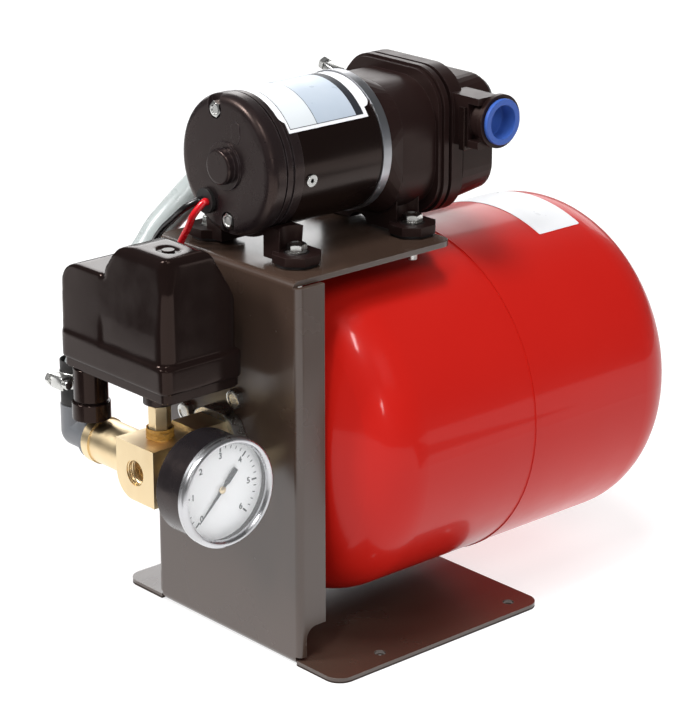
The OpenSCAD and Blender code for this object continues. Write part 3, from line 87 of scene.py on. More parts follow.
# Driving places, read from the frame
CAN_LOW, CAN_HIGH = span("motor_can")
CAN_R = (CAN_HIGH.x - CAN_LOW.x) / 2
MOTOR = middle("motor_ring")
TANK_LOW, TANK_HIGH = span("tank_front_shell")
TANK_R = (TANK_HIGH.x - TANK_LOW.x) / 2
TANK = (TANK_LOW + TANK_HIGH) / 2
GAUGE = middle("gauge_bezel")
DIAL_LOW, DIAL_HIGH = span("gauge_dial")
DIAL_R = (DIAL_HIGH.y - DIAL_LOW.y) / 2


# Settings that a user would change


def setting(kind, **fixed):
    """Makes a short way to state settings of one kind."""
    return lambda name, note, value: kind(name=name, description=note, default=value, **fixed)


Colour = setting(bpy.props.StringProperty)
Number = setting(bpy.props.FloatProperty)
Length = setting(bpy.props.FloatProperty, unit="LENGTH")
FocalLength = setting(bpy.props.FloatProperty, unit="CAMERA")
Angle = setting(bpy.props.FloatProperty, subtype="ANGLE")


class PumpSetColours(bpy.types.PropertyGroup):
    """Colours of the finishes, as sRGB hex values."""

    enamel: Colour("Vessel enamel", "Gloss enamel of the vessel", "#B61912")
    powder: Colour("Frame powder", "Powder coat of the frame", "#42332B")
    moulding: Colour("Black mouldings", "Switch, gland and small parts", "#150D0C")
    casing: Colour("Motor paint", "Paint of the can", "#0F0807")
    end_cap: Colour("End cap", "Paint of the die-cast end cap", "#1C1617")
    pump: Colour("Pump mouldings", "Housing, head and saddles", "#1E1312")
    hose: Colour("Hose", "Milky clear hose", "#B4BBBA")
    plug: Colour("Plug", "Transport plug", "#3A5CA8")
    elbow: Colour("Elbow", "Grey hose elbow", "#6E7175")
    red_wire: Colour("Red wire", "Insulation of the live wire", "#C8101C")


class PumpSetSizes(bpy.types.PropertyGroup):
    """Sizes of the details that only the looks hold."""

    sheet_edge: Length("Sheet edge", "Rounding that the powder gives to cut sheet", 0.5 * MM)
    label_front: Length("Label front", "Front edge of the can's label, along Y", -58.5 * MM)
    label_back: Length("Label back", "Rear edge of the can's label, along Y", -1.5 * MM)
    label_foot: Angle("Label foot", "Angle of the label's lower edge from +X", math.radians(32.5))
    number_size: Length("Number size", "Height of the dial's numbers", 4.8 * MM)


class PumpSetStage(bpy.types.PropertyGroup):
    """Camera and lights."""

    azimuth: Angle("Azimuth", "Camera's angle round the set", math.radians(48.14))
    elevation: Angle("Elevation", "Camera's angle over the horizon", math.radians(19.28))
    distance: Length("Distance", "From the camera to its target", 1.5189)
    lens: FocalLength("Lens", "Focal length", 135.72)
    key: Number("Key light", "Power of the key light", 45.0)
    fill: Number("Fill light", "Power of the fill light", 23.0)
    glow: Number("Floor glow", "Brightness of the floor as the camera sees it", 0.7)
    back: Number("Back light", "Power of the panel behind the set", 37.0)
    top: Number("Top light", "Power of the overhead light", 19.0)
    room: Number("Room light", "Strength of the pale surroundings", 0.15)
    strip: Number("Strip lights", "Power of the strip lights", 16.0)
    card: Number("Cards", "Brightness of the white cards on the floor", 1.15)


# Shader helpers


def linear(code):
    """An sRGB hex value as the linear RGBA that shaders take."""
    shares = [int(code[i:i + 2], 16) / 255 for i in (1, 3, 5)]
    return (*[s / 12.92 if s <= 0.04045 else ((s + 0.055) / 1.055) ** 2.4 for s in shares], 1.0)


def add(tree, kind, settings=None, **inputs):
    """Adds a shader node. Settings are its own fields. An input takes a value, or a socket to link."""
    node = tree.nodes.new("ShaderNode" + kind)
    for name, value in (settings or {}).items():
        setattr(node, name, value)
    for name, value in inputs.items():
        socket = node.inputs[name.replace("_", " ")]
        if isinstance(value, bpy.types.NodeSocket):
            tree.links.new(value, socket)
        else:
            socket.default_value = value
    return node


# Dark paints and plastics are tinted brown, and so is what they reflect
WARM = "#FFDCCE"


class Finish:
    """A material with its shader, and the ways in which a real surface departs from a flat colour."""

    def __init__(self, name, colour, roughness, **shader):
        self.material = bpy.data.materials.new(name)
        self.material.use_nodes = True
        self.tree = self.material.node_tree
        self.tree.nodes.clear()
        base = linear(colour)
        self.shader = add(self.tree, "BsdfPrincipled", Base_Color=base, Roughness=roughness, **shader)
        add(self.tree, "OutputMaterial", Surface=self.shader.outputs[0])
        self.material.diffuse_color = base
        self.height = None

    def blots(self, size, stretch=(1, 1, 1), detail=3.0):
        """A random pattern with blots of that size in millimetres, stretched along the axes."""
        place = add(self.tree, "TexCoord").outputs["Object"]
        laid = add(self.tree, "Mapping", Vector=place, Scale=tuple(1 / s for s in stretch)).outputs[0]
        return add(self.tree, "TexNoise", Vector=laid, Scale=1 / (size * MM), Detail=detail).outputs["Fac"]

    def spread(self, pattern, low, high, start=0.3, end=0.7):
        """Turns a pattern's range from start to end into values from low to high."""
        node = add(self.tree, "MapRange", Value=pattern,
                   From_Min=start, From_Max=end, To_Min=low, To_Max=high)
        return node.outputs[0]

    def tint(self, share, colour):
        """Mixes another colour in, by that share."""
        socket = self.shader.inputs["Base Color"]
        before = socket.links[0].from_socket if socket.links else tuple(socket.default_value)
        mixed = add(self.tree, "MixRGB", Fac=share, Color1=before, Color2=linear(colour)).outputs[0]
        self.tree.links.new(mixed, socket)
        return self

    def gloss(self, pattern, low, high):
        """Lets roughness wander with a pattern."""
        self.tree.links.new(self.spread(pattern, low, high), self.shader.inputs["Roughness"])
        return self

    def relief(self, pattern, depth):
        """Raises the surface by a pattern, depth in millimetres."""
        links = {"Normal": self.height} if self.height else {}
        bump = add(self.tree, "Bump", Height=pattern, Distance=depth * MM, Strength=1.0, **links)
        self.height = bump.outputs[0]
        self.tree.links.new(self.height, self.shader.inputs["Normal"])
        return self

    def edges(self, width):
        """Where the surface turns sharply within width millimetres, from 0 on flats to 1 on edges."""
        round_normal = add(self.tree, "Bevel", {"samples": 4}, Radius=width * MM).outputs[0]
        flat_normal = add(self.tree, "NewGeometry").outputs["Normal"]
        dot = add(self.tree, "VectorMath", {"operation": "DOT_PRODUCT"})
        self.tree.links.new(round_normal, dot.inputs[0])
        self.tree.links.new(flat_normal, dot.inputs[1])
        return self.spread(dot.outputs["Value"], 1.0, 0.0, 0.8, 0.99)


def rubbed(finish, colour, width=0.8, most=0.5):
    """Edges painted in a lighter colour, a painted highlight where they catch the light, broken up by blots.
    """
    highlit = add(finish.tree, "Math", {"operation": "MULTIPLY"})
    finish.tree.links.new(finish.edges(width), highlit.inputs[0])
    finish.tree.links.new(finish.spread(finish.blots(5.0), 0.0, most), highlit.inputs[1])
    finish.tint(highlit.outputs[0], colour)
    return finish


def powder_coat(code):
    """Polyester powder baked on steel: satin, with a fine orange peel that breaks up reflections."""
    f = Finish("powder_coated_steel", code, 0.25, Specular_IOR_Level=0.8)
    f.tint(f.spread(f.blots(90.0), 0.0, 0.1), "#2E211B")
    f.gloss(f.blots(30.0), 0.22, 0.28)
    f.relief(f.blots(9.0, detail=1.0), 0.012)
    # Edges painted lighter in #8C8580: a painted highlight
    return rubbed(f, "#8C8580", 0.8, 0.45)


def gloss_enamel(code):
    """Stoved gloss enamel on pressed steel: wet-looking, with faint waves from the pressing."""
    f = Finish("red_gloss_enamel", code, 0.4, Specular_IOR_Level=0.1, Coat_Weight=0.26, Coat_Roughness=0.09)
    f.tint(f.spread(f.blots(90.0), 0.0, 0.1), "#D02A1C")
    f.gloss(f.blots(25.0), 0.3, 0.4)
    return f.relief(f.blots(38.0, detail=1.0), 0.05)


def moulded(name, code, roughness, grain=0.9, depth=0.008):
    """Injection-moulded nylon or ABS: satin with a fine spark-eroded grain."""
    f = Finish(name, code, roughness, IOR=1.5, Specular_IOR_Level=0.28, Specular_Tint=linear(WARM))
    f.gloss(f.blots(16.0), roughness - 0.05, roughness + 0.05)
    f.relief(f.blots(grain, detail=2.0), depth)
    # Edges painted lighter in #5E5654: a painted highlight
    return rubbed(f, "#5E5654", 0.7, 0.25)


def motor_paint(code):
    """Semi-gloss stoving paint on rolled steel tube: deep black with small runs and dust."""
    f = Finish("black_stove_paint", code, 0.22, Specular_IOR_Level=0.3, Specular_Tint=linear(WARM))
    f.gloss(f.blots(20.0, (1, 3, 1)), 0.17, 0.28)
    f.relief(f.blots(2.0, detail=1.0), 0.01)
    return f


def cast_paint(name, code, roughness):
    """Satin paint on a die casting: the casting's skin shows through as a fine dimpling."""
    f = Finish(name, code, roughness, Specular_IOR_Level=0.4, Specular_Tint=linear(WARM))
    f.gloss(f.blots(9.0), roughness - 0.07, roughness + 0.08)
    f.relief(f.blots(0.9, detail=3.0), 0.014)
    # Edges painted lighter in #6B6568: a painted highlight
    return rubbed(f, "#6B6568", 1.0, 0.4)


def bright_metal(name, code, roughness, turned=(1, 1, 1), size=6.0):
    """Bare or plated metal, with the streaks that turning or plating leaves along one direction."""
    f = Finish(name, code, roughness, Metallic=1.0)
    f.gloss(f.blots(size, turned), roughness - 0.08, roughness + 0.12)
    f.tint(f.spread(f.blots(size * 2.5), 0.0, 0.35), "#8D8983")
    f.relief(f.blots(0.7, turned), 0.006)
    return f


def machined_brass():
    """Free-cutting brass, cast and then milled: unevenly tarnished, with a painted highlight along its edges.
    """
    f = Finish("machined_brass", "#EFDAB2", 0.36, Metallic=1.0)
    f.gloss(f.blots(9.0, (1, 1, 3)), 0.3, 0.42)
    f.tint(f.spread(f.blots(30.0), 0.0, 0.25), "#D4AE78")
    # Edges painted bright in #FFF0C4: a painted highlight
    return rubbed(f, "#FFF0C4", 0.8, 0.5)


def milky_hose(code):
    """Plasticised PVC: soft, milky and half clear, with faint ribs from the extruder."""
    f = Finish("milky_pvc", code, 0.3, Transmission_Weight=0.12, IOR=1.5, Subsurface_Weight=0.3)
    f.shader.inputs["Subsurface Radius"].default_value = (0.004, 0.004, 0.004)
    f.gloss(f.blots(12.0), 0.24, 0.36)
    f.tint(f.spread(f.blots(28.0), 0.0, 0.1), "#D2D6D6")
    return f.relief(f.blots(3.0), 0.02)


def soft_rubber(name, code, roughness=0.55):
    """Moulded rubber: dull, with a dusty bloom."""
    f = Finish(name, code, roughness, IOR=1.52)
    f.gloss(f.blots(8.0), roughness - 0.08, roughness + 0.12)
    f.tint(f.spread(f.blots(11.0), 0.0, 0.22), "#3B3634")
    return f.relief(f.blots(0.8), 0.02)


def insulation(name, code):
    """Extruded PVC insulation: smooth and shiny, slightly uneven along its length."""
    f = Finish(name, code, 0.26, IOR=1.53, Coat_Weight=0.3, Coat_Roughness=0.1)
    f.gloss(f.blots(5.0), 0.2, 0.34)
    return f.relief(f.blots(2.5), 0.03)


def clear_pane():
    """Polycarbonate pane: seen almost only by its reflections, with a few dull wiped patches."""
    f = Finish("clear_pane", "#F4F8FA", 0.04, Alpha=0.1, IOR=1.52, Specular_IOR_Level=1.0)
    return f.gloss(f.blots(18.0), 0.03, 0.12)


def printed_white(name, code, roughness=0.45):
    """White printing ink or coated film, nearly even, a little yellowed in places."""
    f = Finish(name, code, roughness, IOR=1.48)
    f.tint(f.spread(f.blots(22.0), 0.0, 0.12), "#E4E4E0")
    f.gloss(f.blots(10.0), roughness - 0.08, roughness + 0.08)
    return f.relief(f.blots(1.1), 0.004)


def printing_ink(name, code):
    """Screen-printed ink: flat and dull, with pinholes."""
    f = Finish(name, code, 0.5, IOR=1.48)
    f.tint(f.spread(f.blots(0.6), 0.0, 0.2), "#3A3C40")
    return f.relief(f.blots(0.5), 0.004)


def sealing_paste():
    """Hemp and paste wound round a pipe thread: lumpy, honey-coloured fibres."""
    f = Finish("sealing_hemp", "#B98A3C", 0.55, IOR=1.45)
    f.tint(f.spread(f.blots(1.2, (1, 1, 0.4)), 0.0, 0.8), "#6B4719")
    return f.relief(f.blots(0.8, (1, 1, 0.4)), 0.25)


def lacquered_copper():
    """Enamelled copper wire, wound close: coppery brown with a varnish shine."""
    f = Finish("enamelled_copper", "#B4602E", 0.3, Metallic=1.0)
    f.relief(f.blots(0.9, (1, 12, 1)), 0.15)
    return f.gloss(f.blots(3.0), 0.24, 0.42)


def sintered(name, code):
    """Sintered ferrite or varnished iron: dull dark grey with a coarse grain."""
    f = Finish(name, code, 0.62, Metallic=0.3)
    f.tint(f.spread(f.blots(2.2), 0.0, 0.5), "#56565A")
    return f.relief(f.blots(0.6), 0.04)


FINISHES = {}


def make_finishes(colours):
    """Makes every finish once, by the record's slot name or by a name of the scene's own."""
    FINISHES.update({
        "frame_paint": powder_coat(colours.powder),
        "tank_paint": gloss_enamel(colours.enamel),
        "zinc": bright_metal("bright_zinc_plate", "#D9D9D6", 0.26),
        "bladder": soft_rubber("butyl_rubber", "#1A1A1C"),
        "brass": machined_brass(),
        "black_plastic": moulded("black_abs", colours.moulding, 0.16, depth=0.002),
        "grey_plastic": moulded("grey_polypropylene", colours.elbow, 0.34),
        "gauge_black": cast_paint("black_case_enamel", "#1B181A", 0.24),
        "chrome": bright_metal("polished_steel", "#D2D2D5", 0.26, size=12.0),
        "glass": clear_pane(),
        "dial_white": printed_white("dial_enamel", "#FCFCFD"),
        "needle_black": printing_ink("needle_lacquer", "#1C1C20"),
        "hose_pvc": milky_hose(colours.hose),
        "red_pvc": insulation("red_insulation", colours.red_wire),
        "black_pvc": insulation("black_insulation", "#100E0F"),
        "cap_paint": cast_paint("end_cap_paint", colours.end_cap, 0.3),
        "can_paint": motor_paint(colours.casing),
        "magnet": sintered("ferrite", "#2E2E32"),
        "steel": bright_metal("ground_steel", "#BDBDBD", 0.3, (6, 1, 1)),
        "laminations": sintered("varnished_iron", "#4A4440"),
        "copper": bright_metal("turned_copper", "#C9784A", 0.28, (1, 6, 1)),
        "ring_alloy": bright_metal("turned_alloy", "#B4B6BC", 0.34, (1, 8, 1)),
        "pump_plastic": moulded("glass_filled_nylon", colours.pump, 0.4, 0.7),
        "cast_alloy": bright_metal("die_cast_zinc", "#A6A6A2", 0.45),
        "blue_plastic": moulded("blue_polythene", colours.plug, 0.36, 1.6),
        "black_rubber": soft_rubber("black_rubber", "#151313"),
        "white_plastic": moulded("white_nylon", "#E2DFD6", 0.42),
        "hemp": sealing_paste(),
        "winding": lacquered_copper(),
        "label_white": printed_white("label_film", "#E2E3E6", 0.35),
        "label_pale": printed_white("label_head_film", "#CDD2D6", 0.35),
        "label_blue": printed_white("label_field_film", "#A8B3C0", 0.35),
        "label_ink": printing_ink("label_ink", "#23242A"),
    })


# Mesh helpers, in millimetres


def place(origin, axis, turn=0.0):
    """A frame at origin whose local z lies along axis, turned about it by turn degrees."""
    rotation = Vector(axis).to_track_quat("Z", "Y").to_matrix().to_4x4()
    return Matrix.Translation(Vector(origin)) @ rotation @ Matrix.Rotation(math.radians(turn), 4, "Z")


def ring_of(bm, frame_at, radius, height, sides):
    """A ring of vertices. The radius is a number, or a function of the angle in degrees, as the height is."""
    made = []
    for k in range(sides):
        a = 360 * k / sides
        r = radius(a) if callable(radius) else radius
        z = height(a) if callable(height) else height
        t = math.radians(a)
        made.append(bm.verts.new(frame_at @ Vector((r * math.cos(t), r * math.sin(t), z))))
    return made


def bridge(bm, first, second):
    """Joins two rings of the same number of vertices."""
    for k, v in enumerate(first):
        n = (k + 1) % len(first)
        bm.faces.new((v, first[n], second[n], second[k]))


def skin(bm, rings, capped=True):
    """Joins each ring to the next, and closes both ends with a face if they are to be capped."""
    for a, b in zip(rings, rings[1:]):
        bridge(bm, a, b)
    if capped:
        bm.faces.new(list(reversed(rings[0])))
        bm.faces.new(rings[-1])


def lathe(bm, frame_at, profile, sides=64):
    """Turns a profile of (radius, height) pairs. Ends with radius 0 are closed, a profile that returns to its
    first point is a ring, and other ends are capped flat."""
    ring = profile[0] == profile[-1]
    points = profile[:-1] if ring else profile
    rings = [ring_of(bm, frame_at, max(r, 0.001), z, sides) for r, z in points]
    skin(bm, rings, capped=not ring)
    if ring:
        bridge(bm, rings[-1], rings[0])


def curve_through(points, steps):
    """Points on a smooth curve through the given ones."""
    p = [Vector(q) for q in points]
    last = len(p) - 1
    found = []
    for i in range(last):
        a, b, c, d = p[max(i - 1, 0)], p[i], p[i + 1], p[min(i + 2, last)]
        for k in range(steps):
            t = k / steps
            found.append(0.5 * (2 * b + (c - a) * t + (2 * a - 5 * b + 4 * c - d) * t ** 2
                                + (3 * b - a - 3 * c + d) * t ** 3))
    return found + [p[last]]


def sweep(bm, line, profile, sides):
    """Sweeps circles along a line. The profile gives the radius at each share of the way."""
    side = Vector((0.31, 0.17, 0.94))
    rings = []
    for i, p in enumerate(line):
        along = (line[min(i + 1, len(line) - 1)] - line[max(i - 1, 0)]).normalized()
        side = (side - along * side.dot(along)).normalized()
        other = along.cross(side)
        r = profile(i / (len(line) - 1))
        rings.append([bm.verts.new(p + r * (math.cos(a) * side + math.sin(a) * other))
                      for a in (2 * math.pi * k / sides for k in range(sides))])
    skin(bm, rings, capped=False)
    return rings


def cord(bm, line, radius, sides):
    """Sweeps one circle along a line and closes both ends."""
    rings = sweep(bm, line, lambda s: radius, sides)
    bm.faces.new(rings[0])
    bm.faces.new(rings[-1])


def block(bm, low, high, frame_at=Matrix.Identity(4), soft=0.0):
    """A box from low to high in its own frame, its edges rounded by soft."""
    made = bmesh.ops.create_cube(bm, size=1.0)["verts"]
    low, high = Vector(low), Vector(high)
    size = high - low
    for v in made:
        v.co = frame_at @ (low + Vector((v.co[i] + 0.5) * size[i] for i in range(3)))
    if soft:
        edges = list({e for v in made for e in v.link_edges})
        bmesh.ops.bevel(bm, geom=edges, offset=soft, segments=3, profile=0.5, affect="EDGES")


def hex_head(bm, frame_at, flats, height, dish=0.5):
    """A bolt's head: hexagonal, chamfered by turning, with a shallow dish in its top."""
    flat = flats / 2
    crown = 0.93 * flat

    def reach(a):
        return flat / math.cos(math.radians((a + 30) % 60 - 30))

    def shoulder(a):
        return height - (reach(a) - crown) * math.tan(math.radians(30))

    sides = 36
    rings = [ring_of(bm, frame_at, radius, z, sides) for radius, z in
             ((reach, 0.0), (reach, shoulder), (crown, height), (0.72 * flat, height),
              (0.6 * flat, height - dish))]
    skin(bm, rings)


def piece(name, bm, body, finish, sharp=32.0):
    """Makes the object from a mesh in millimetres, rides it on its body and gives it its finish and slot."""
    bmesh.ops.remove_doubles(bm, verts=bm.verts, dist=0.0005)
    bmesh.ops.recalc_face_normals(bm, faces=bm.faces)
    bmesh.ops.scale(bm, vec=(MM, MM, MM), verts=bm.verts)
    mesh = bpy.data.meshes.new(name)
    bm.to_mesh(mesh)
    bm.free()
    mesh.shade_smooth()
    mesh.set_sharp_from_angle(angle=math.radians(sharp))
    made = bpy.data.objects.new(name, mesh)
    bpy.context.scene.collection.objects.link(made)
    mesh.materials.append(FINISHES[finish].material)
    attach(made, body)
    return made


def paint(node, finish):
    """Gives a CAD node its finish."""
    materials = frame["nodes"][node].data.materials
    materials.clear()
    materials.append(FINISHES[finish].material)


def modify(node, name, kind, **settings):
    """Adds a modifier to a CAD node, whose own mesh stays unchanged."""
    made = frame["nodes"][node].modifiers.new(name, kind)
    for key, value in settings.items():
        setattr(made, key, value)


def soften(node, width, finish, segments=3, sharp=28.0):
    """Rounds a CAD node's edges by a width in millimetres, and paints it."""
    modify(node, "weld", "WELD", merge_threshold=2e-6)
    modify(node, "flat_faces", "DECIMATE", decimate_type="DISSOLVE", angle_limit=math.radians(1.5))
    modify(node, "soft_edges", "BEVEL", width=width * MM, segments=segments, limit_method="ANGLE",
           angle_limit=math.radians(sharp), harden_normals=False, miter_outer="MITER_ARC")
    modify(node, "even_shading", "WEIGHTED_NORMAL", keep_sharp=True)
    paint(node, finish)


def fillet(node, voxel, rounds, finish):
    """Melts a CAD node's edges into broad fillets, and paints it."""
    modify(node, "even_mesh", "REMESH", mode="VOXEL", voxel_size=voxel * MM, use_smooth_shade=True)
    modify(node, "fillets", "SMOOTH", factor=0.5, iterations=rounds)
    paint(node, finish)


def solids(node):
    """Boxes, in millimetres, of the separate solids that a CAD node holds."""
    bm = bmesh.new()
    bm.from_mesh(frame["nodes"][node].data)
    bmesh.ops.remove_doubles(bm, verts=bm.verts, dist=1e-6)
    left, boxes = set(bm.verts), []
    while left:
        group, front = set(), [left.pop()]
        while front:
            v = front.pop()
            group.add(v)
            near = {e.other_vert(v) for e in v.link_edges} & left
            left -= near
            front += near
        boxes.append([Vector(pick(v.co[i] for v in group) for i in range(3)) / MM for pick in (min, max)])
    bm.free()
    return sorted(boxes, key=lambda b: tuple(round(x, 1) for x in b[0]))


# Pieces: the vessel


# Thickness of a label's film, and how far the painted weld stands proud
FILM, SEAM_RISE = 0.12, 0.16
# The vessel's label: from where to where along Y, and its lower and upper edge in degrees from +X
VESSEL_LABEL_Y, VESSEL_LABEL_TURN = (127.0, 161.0), (65.5, 126.0)


def dress_vessel():
    """Enamel on both shells, the bead where they meet, a bare label near the rear dome, and the fittings."""
    for node in ("tank_front_shell", "tank_rear_shell"):
        paint(node, "tank_paint")
    foot, crown = TANK_R - 0.6, TANK_R + SEAM_RISE
    bm = bmesh.new()
    lathe(bm, place((TANK.x, TANK_HIGH.y, TANK.z), (0, 1, 0)),
          [(foot, -0.9), (TANK_R + 0.05, -0.7), (crown, -0.25), (crown, 0.25),
           (TANK_R + 0.05, 0.7), (foot, 0.9), (foot, -0.9)], 180)
    piece("seam_bead", bm, SET, "tank_paint")
    bm = bmesh.new()
    wrap(bm, TANK.x, TANK.z, TANK_R + FILM, FILM, VESSEL_LABEL_Y, VESSEL_LABEL_TURN, 1.0)
    piece("vessel_label", bm, SET, "label_white")
    paint("tank_bladder", "bladder")
    soften("tank_flange", 0.3, "zinc")
    soften("lock_nut", 0.5, "zinc")
    dress_bolts("tank_screws", "vessel_screws", (0, -1, 0), 10.0, 4.0)
    soften("air_valve", 0.25, "brass")
    paint("valve_core", "brass")
    dress_valve_cap()


def wrap(bm, x, z, radius, thick, along, turn, corner, step=1.5):
    """A sheet round an axis along Y through x and z: along is its range in Y, turn its range of angles."""
    start, end = (math.radians(a) for a in turn)
    count = max(int((end - start) / math.radians(step)), 4)
    rounding = corner / radius
    fine = [rounding * s for s in (0.0, 0.03, 0.13, 0.3, 0.55, 0.8)]
    plain = end - start - 2 * rounding
    straight = [start + rounding + plain * k / count for k in range(count + 1)]
    angles = [start + f for f in fine] + straight + [end - f for f in reversed(fine)]
    rings = []
    for a in angles:
        edge = min(a - start, end - a) * radius
        cut = corner - math.sqrt(max(corner ** 2 - max(corner - edge, 0.0) ** 2, 0.0))
        low, high = along[0] + cut, along[1] - cut
        spots = [(low, radius), (high, radius), (high, radius + thick), (low, radius + thick)]
        rings.append([bm.verts.new((x + r * math.cos(a), y, z + r * math.sin(a))) for y, r in spots])
    skin(bm, rings)


def dress_valve_cap():
    """Dust cap with the grip ribs that a moulded tyre valve cap has."""
    low, high = span("valve_cap")
    centre = (low + high) / 2
    outer = (high.x - low.x) / 2
    bm = bmesh.new()

    def ribbed(a):
        return outer - 0.35 * (0.5 + 0.5 * math.cos(math.radians(a * 14)))

    start = place((centre.x, low.y, centre.z), (0, 1, 0))
    length = high.y - low.y
    rings = [ring_of(bm, start, radius, height, 84) for radius, height in
             ((outer - 1.7, 0.0), (outer - 0.2, 0.0), (outer, 0.5), (outer, 1.6), (ribbed, 2.2),
              (ribbed, length - 1.6), (outer - 0.9, length - 0.3), (outer - 1.8, length))]
    skin(bm, rings, capped=False)
    bm.faces.new(rings[-1])
    depth = ring_of(bm, start, outer - 1.7, length - 1.6, 84)
    bridge(bm, depth, rings[0])
    bm.faces.new(list(reversed(depth)))
    made = piece("ribbed_valve_cap", bm, "dust_cap", "black_plastic")
    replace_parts(made, "valve_cap")


# Shank radius of each kind of bolt
SHANKS = {"tank_screws": 3.0, "foot_bolts": 3.0, "through_bolts": 2.0}


def dress_bolts(node, name, axis, flats, head, washer=0.0, washer_t=0.0):
    """Puts chamfered heads and round shanks where a node's solids have plain hexagons. The axis points out of
    the head."""
    axis = Vector(axis)
    lane = max(range(3), key=lambda i: abs(axis[i]))
    bm = bmesh.new()
    for low, high in solids(node):
        centre = (low + high) / 2
        top, foot = (high, low) if axis[lane] > 0 else (low, high)
        origin = centre.copy()
        origin[lane] = top[lane] - axis[lane] * (head + washer_t)
        length = abs(origin[lane] - foot[lane])
        shank = SHANKS[node]
        at = place(origin, axis, 15.0)
        lathe(bm, at, [(shank - 0.4, -length), (shank, 0.4 - length), (shank, 0.2)], 32)
        if washer:
            lathe(bm, at, [(washer - 0.2, 0.0), (washer, 0.15),
                           (washer, washer_t - 0.15), (washer - 0.2, washer_t)])
        hex_head(bm, at @ Matrix.Translation((0, 0, washer_t)), flats, head)
    made = piece(name, bm, SET, "zinc")
    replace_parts(made, node)


# Pieces: manifold and hose


# Pitch of the free port's thread
PORT_PITCH = 1.34
# Middle of the nipple along Y, and foot and radius of the sealing on its thread
NIPPLE_Y = middle("switch_nipple").y
SEAL_Z, SEAL_R = 131.2, 7.6


def dress_manifold():
    """Brass with rounded milled edges, a thread in the free port and sealing on the nipple's thread."""
    soften("manifold", 0.8, "brass")
    soften("switch_nipple", 0.35, "brass")
    soften("gauge_stem", 0.35, "brass")
    mouth = next(m for m in frame["record"]["mounts"] if m["name"] == "outlet_port")
    at = Vector(mouth["pos_m"]) / MM
    crest_r, depth = mouth["dims"]["r_mm"] - 0.1, mouth["dims"]["length_mm"]
    steps = 40
    line = [Vector((at.x + crest_r * math.cos(a), at.y + 0.6 + PORT_PITCH * a / (2 * math.pi),
                    at.z + crest_r * math.sin(a)))
            for a in (2 * math.pi * k / steps for k in range(steps * int(depth / PORT_PITCH)))]
    bm = bmesh.new()
    sweep(bm, line, lambda s: 0.5, 6)
    bmesh.ops.holes_fill(bm, edges=bm.edges)
    piece("port_thread", bm, SET, "brass")
    dress_sealing()


def dress_sealing():
    """Hemp and paste that stand proud between the manifold and the nipple's hexagon."""
    at = place((TANK.x, NIPPLE_Y, SEAL_Z), (0, 0, 1))
    bm = bmesh.new()
    rings = []
    for z in (0.0, 0.5, 1.2, 2.1, 3.0, 3.9, 4.8, 5.6, 6.0):

        def lumpy(a, z=z):
            turn = math.radians(a)
            n = noise.noise(Vector((2.4 * math.cos(turn), 2.4 * math.sin(turn), 0.9 * z)))
            return SEAL_R + 0.55 * n + 0.25 * math.sin(3 * turn + 2.1 * z)

        rings.append(ring_of(bm, at, lumpy, z, 72))
    skin(bm, rings)
    piece("thread_sealing", bm, SET, "hemp", sharp=60)


# Routes of the hose and the wires, as they stand in the CAD source, with their radii
OUT_X, PORT_Y, PORT_Z = -60.0, 70.0, 288.0
HOSE_ROUTE = [
    (OUT_X, PORT_Y - 9, PORT_Z), (OUT_X, 48, PORT_Z), (OUT_X, 34, 285.05), (-60.85, 20, 280.03),
    (-62.55, 4, 272.92), (-65.1, -15, 262.01), (-67.65, -40, 246.06), (-70.88, -56, 232.02),
    (-74.28, -65, 221.97), (-75.98, -72, 211.92), (-77, -84, 198.92), (-77, -98, 184.02),
    (-77, -108, 169.98), (-76.49, -117, 159.93), (-76, -123, 152), (-76, -125, 144), (-76, -125, 130.7),
]
RED_ROUTE = [
    (-13.2, -74.3, 253.4), (-13.2, -79, 253.4), (-13.2, -81, 253.4), (-17, -85.2, 246.36),
    (-22, -85.2, 238.02),
    (-29, -85, 228.06), (-36, -85, 214.05), (-42, -85, 195.98), (-46, -85, 176.06), (-47, -86, 161.59),
    (-46, -93, 153.25), (-44, -101, 150.94), (-42.6, -108, 156.2), (-42.6, -108, 157.5), (-42.6, -108, 166.2),
]
BLACK_ROUTE = [
    (-18, -74.3, 253.4), (-18, -79, 253.4), (-18, -81, 253.4), (-24, -85.2, 249.02), (-34, -85.5, 241.03),
    (-46, -85.5, 230.95), (-55, -85, 219.03), (-59, -85, 200.04), (-60, -85, 176.06), (-59, -86, 161.59),
    (-54, -93, 153.25), (-50, -101, 151.52), (-47.4, -108, 156.2), (-47.4, -108, 157.5), (-47.4, -108, 166.2),
]
HOSE_R, HOSE_BORE, WIRE_R = 9.0, 6.8, 2.0
# Length of the rubber sleeve over the hose's lower end
SLEEVE_LEN = 26.5
# Worm-drive clamps: width and outer radius of the band, and its pressed slots with their step in degrees
CLAMP_W, CLAMP_R, SLOTS, SLOT_STEP = 9.0, HOSE_R + 0.9, 26, 9.2


def dress_hose():
    """Smooth hollow hose along the CAD route, fuller over its barbs, with sleeve, elbows and clamps."""
    line = curve_through(HOSE_ROUTE, 8)
    bm = bmesh.new()

    def full(s):
        near = min(s, 1 - s) / 0.05
        return HOSE_R - 0.15 + 0.15 * max(0.0, 1 - near)

    outer = sweep(bm, line, full, 36)
    inner = sweep(bm, line, lambda s: HOSE_BORE, 36)
    bridge(bm, outer[0], inner[0])
    bridge(bm, outer[-1], inner[-1])
    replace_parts(piece("clear_hose", bm, SET, "hose_pvc", sharp=60), "hose")
    bm = bmesh.new()
    inside, outside = HOSE_R + 0.04, HOSE_R + 0.5
    lathe(bm, place(HOSE_ROUTE[-1], (0, 0, 1)),
          [(inside, 0.0), (outside, 0.3), (outside, SLEEVE_LEN - 0.3), (inside, SLEEVE_LEN),
           (inside, 0.0)], 48)
    piece("hose_sleeve", bm, SET, "black_rubber")
    soften("hose_elbow", 0.4, "grey_plastic")
    soften("pump_elbow", 0.4, "black_plastic")
    dress_clamps()


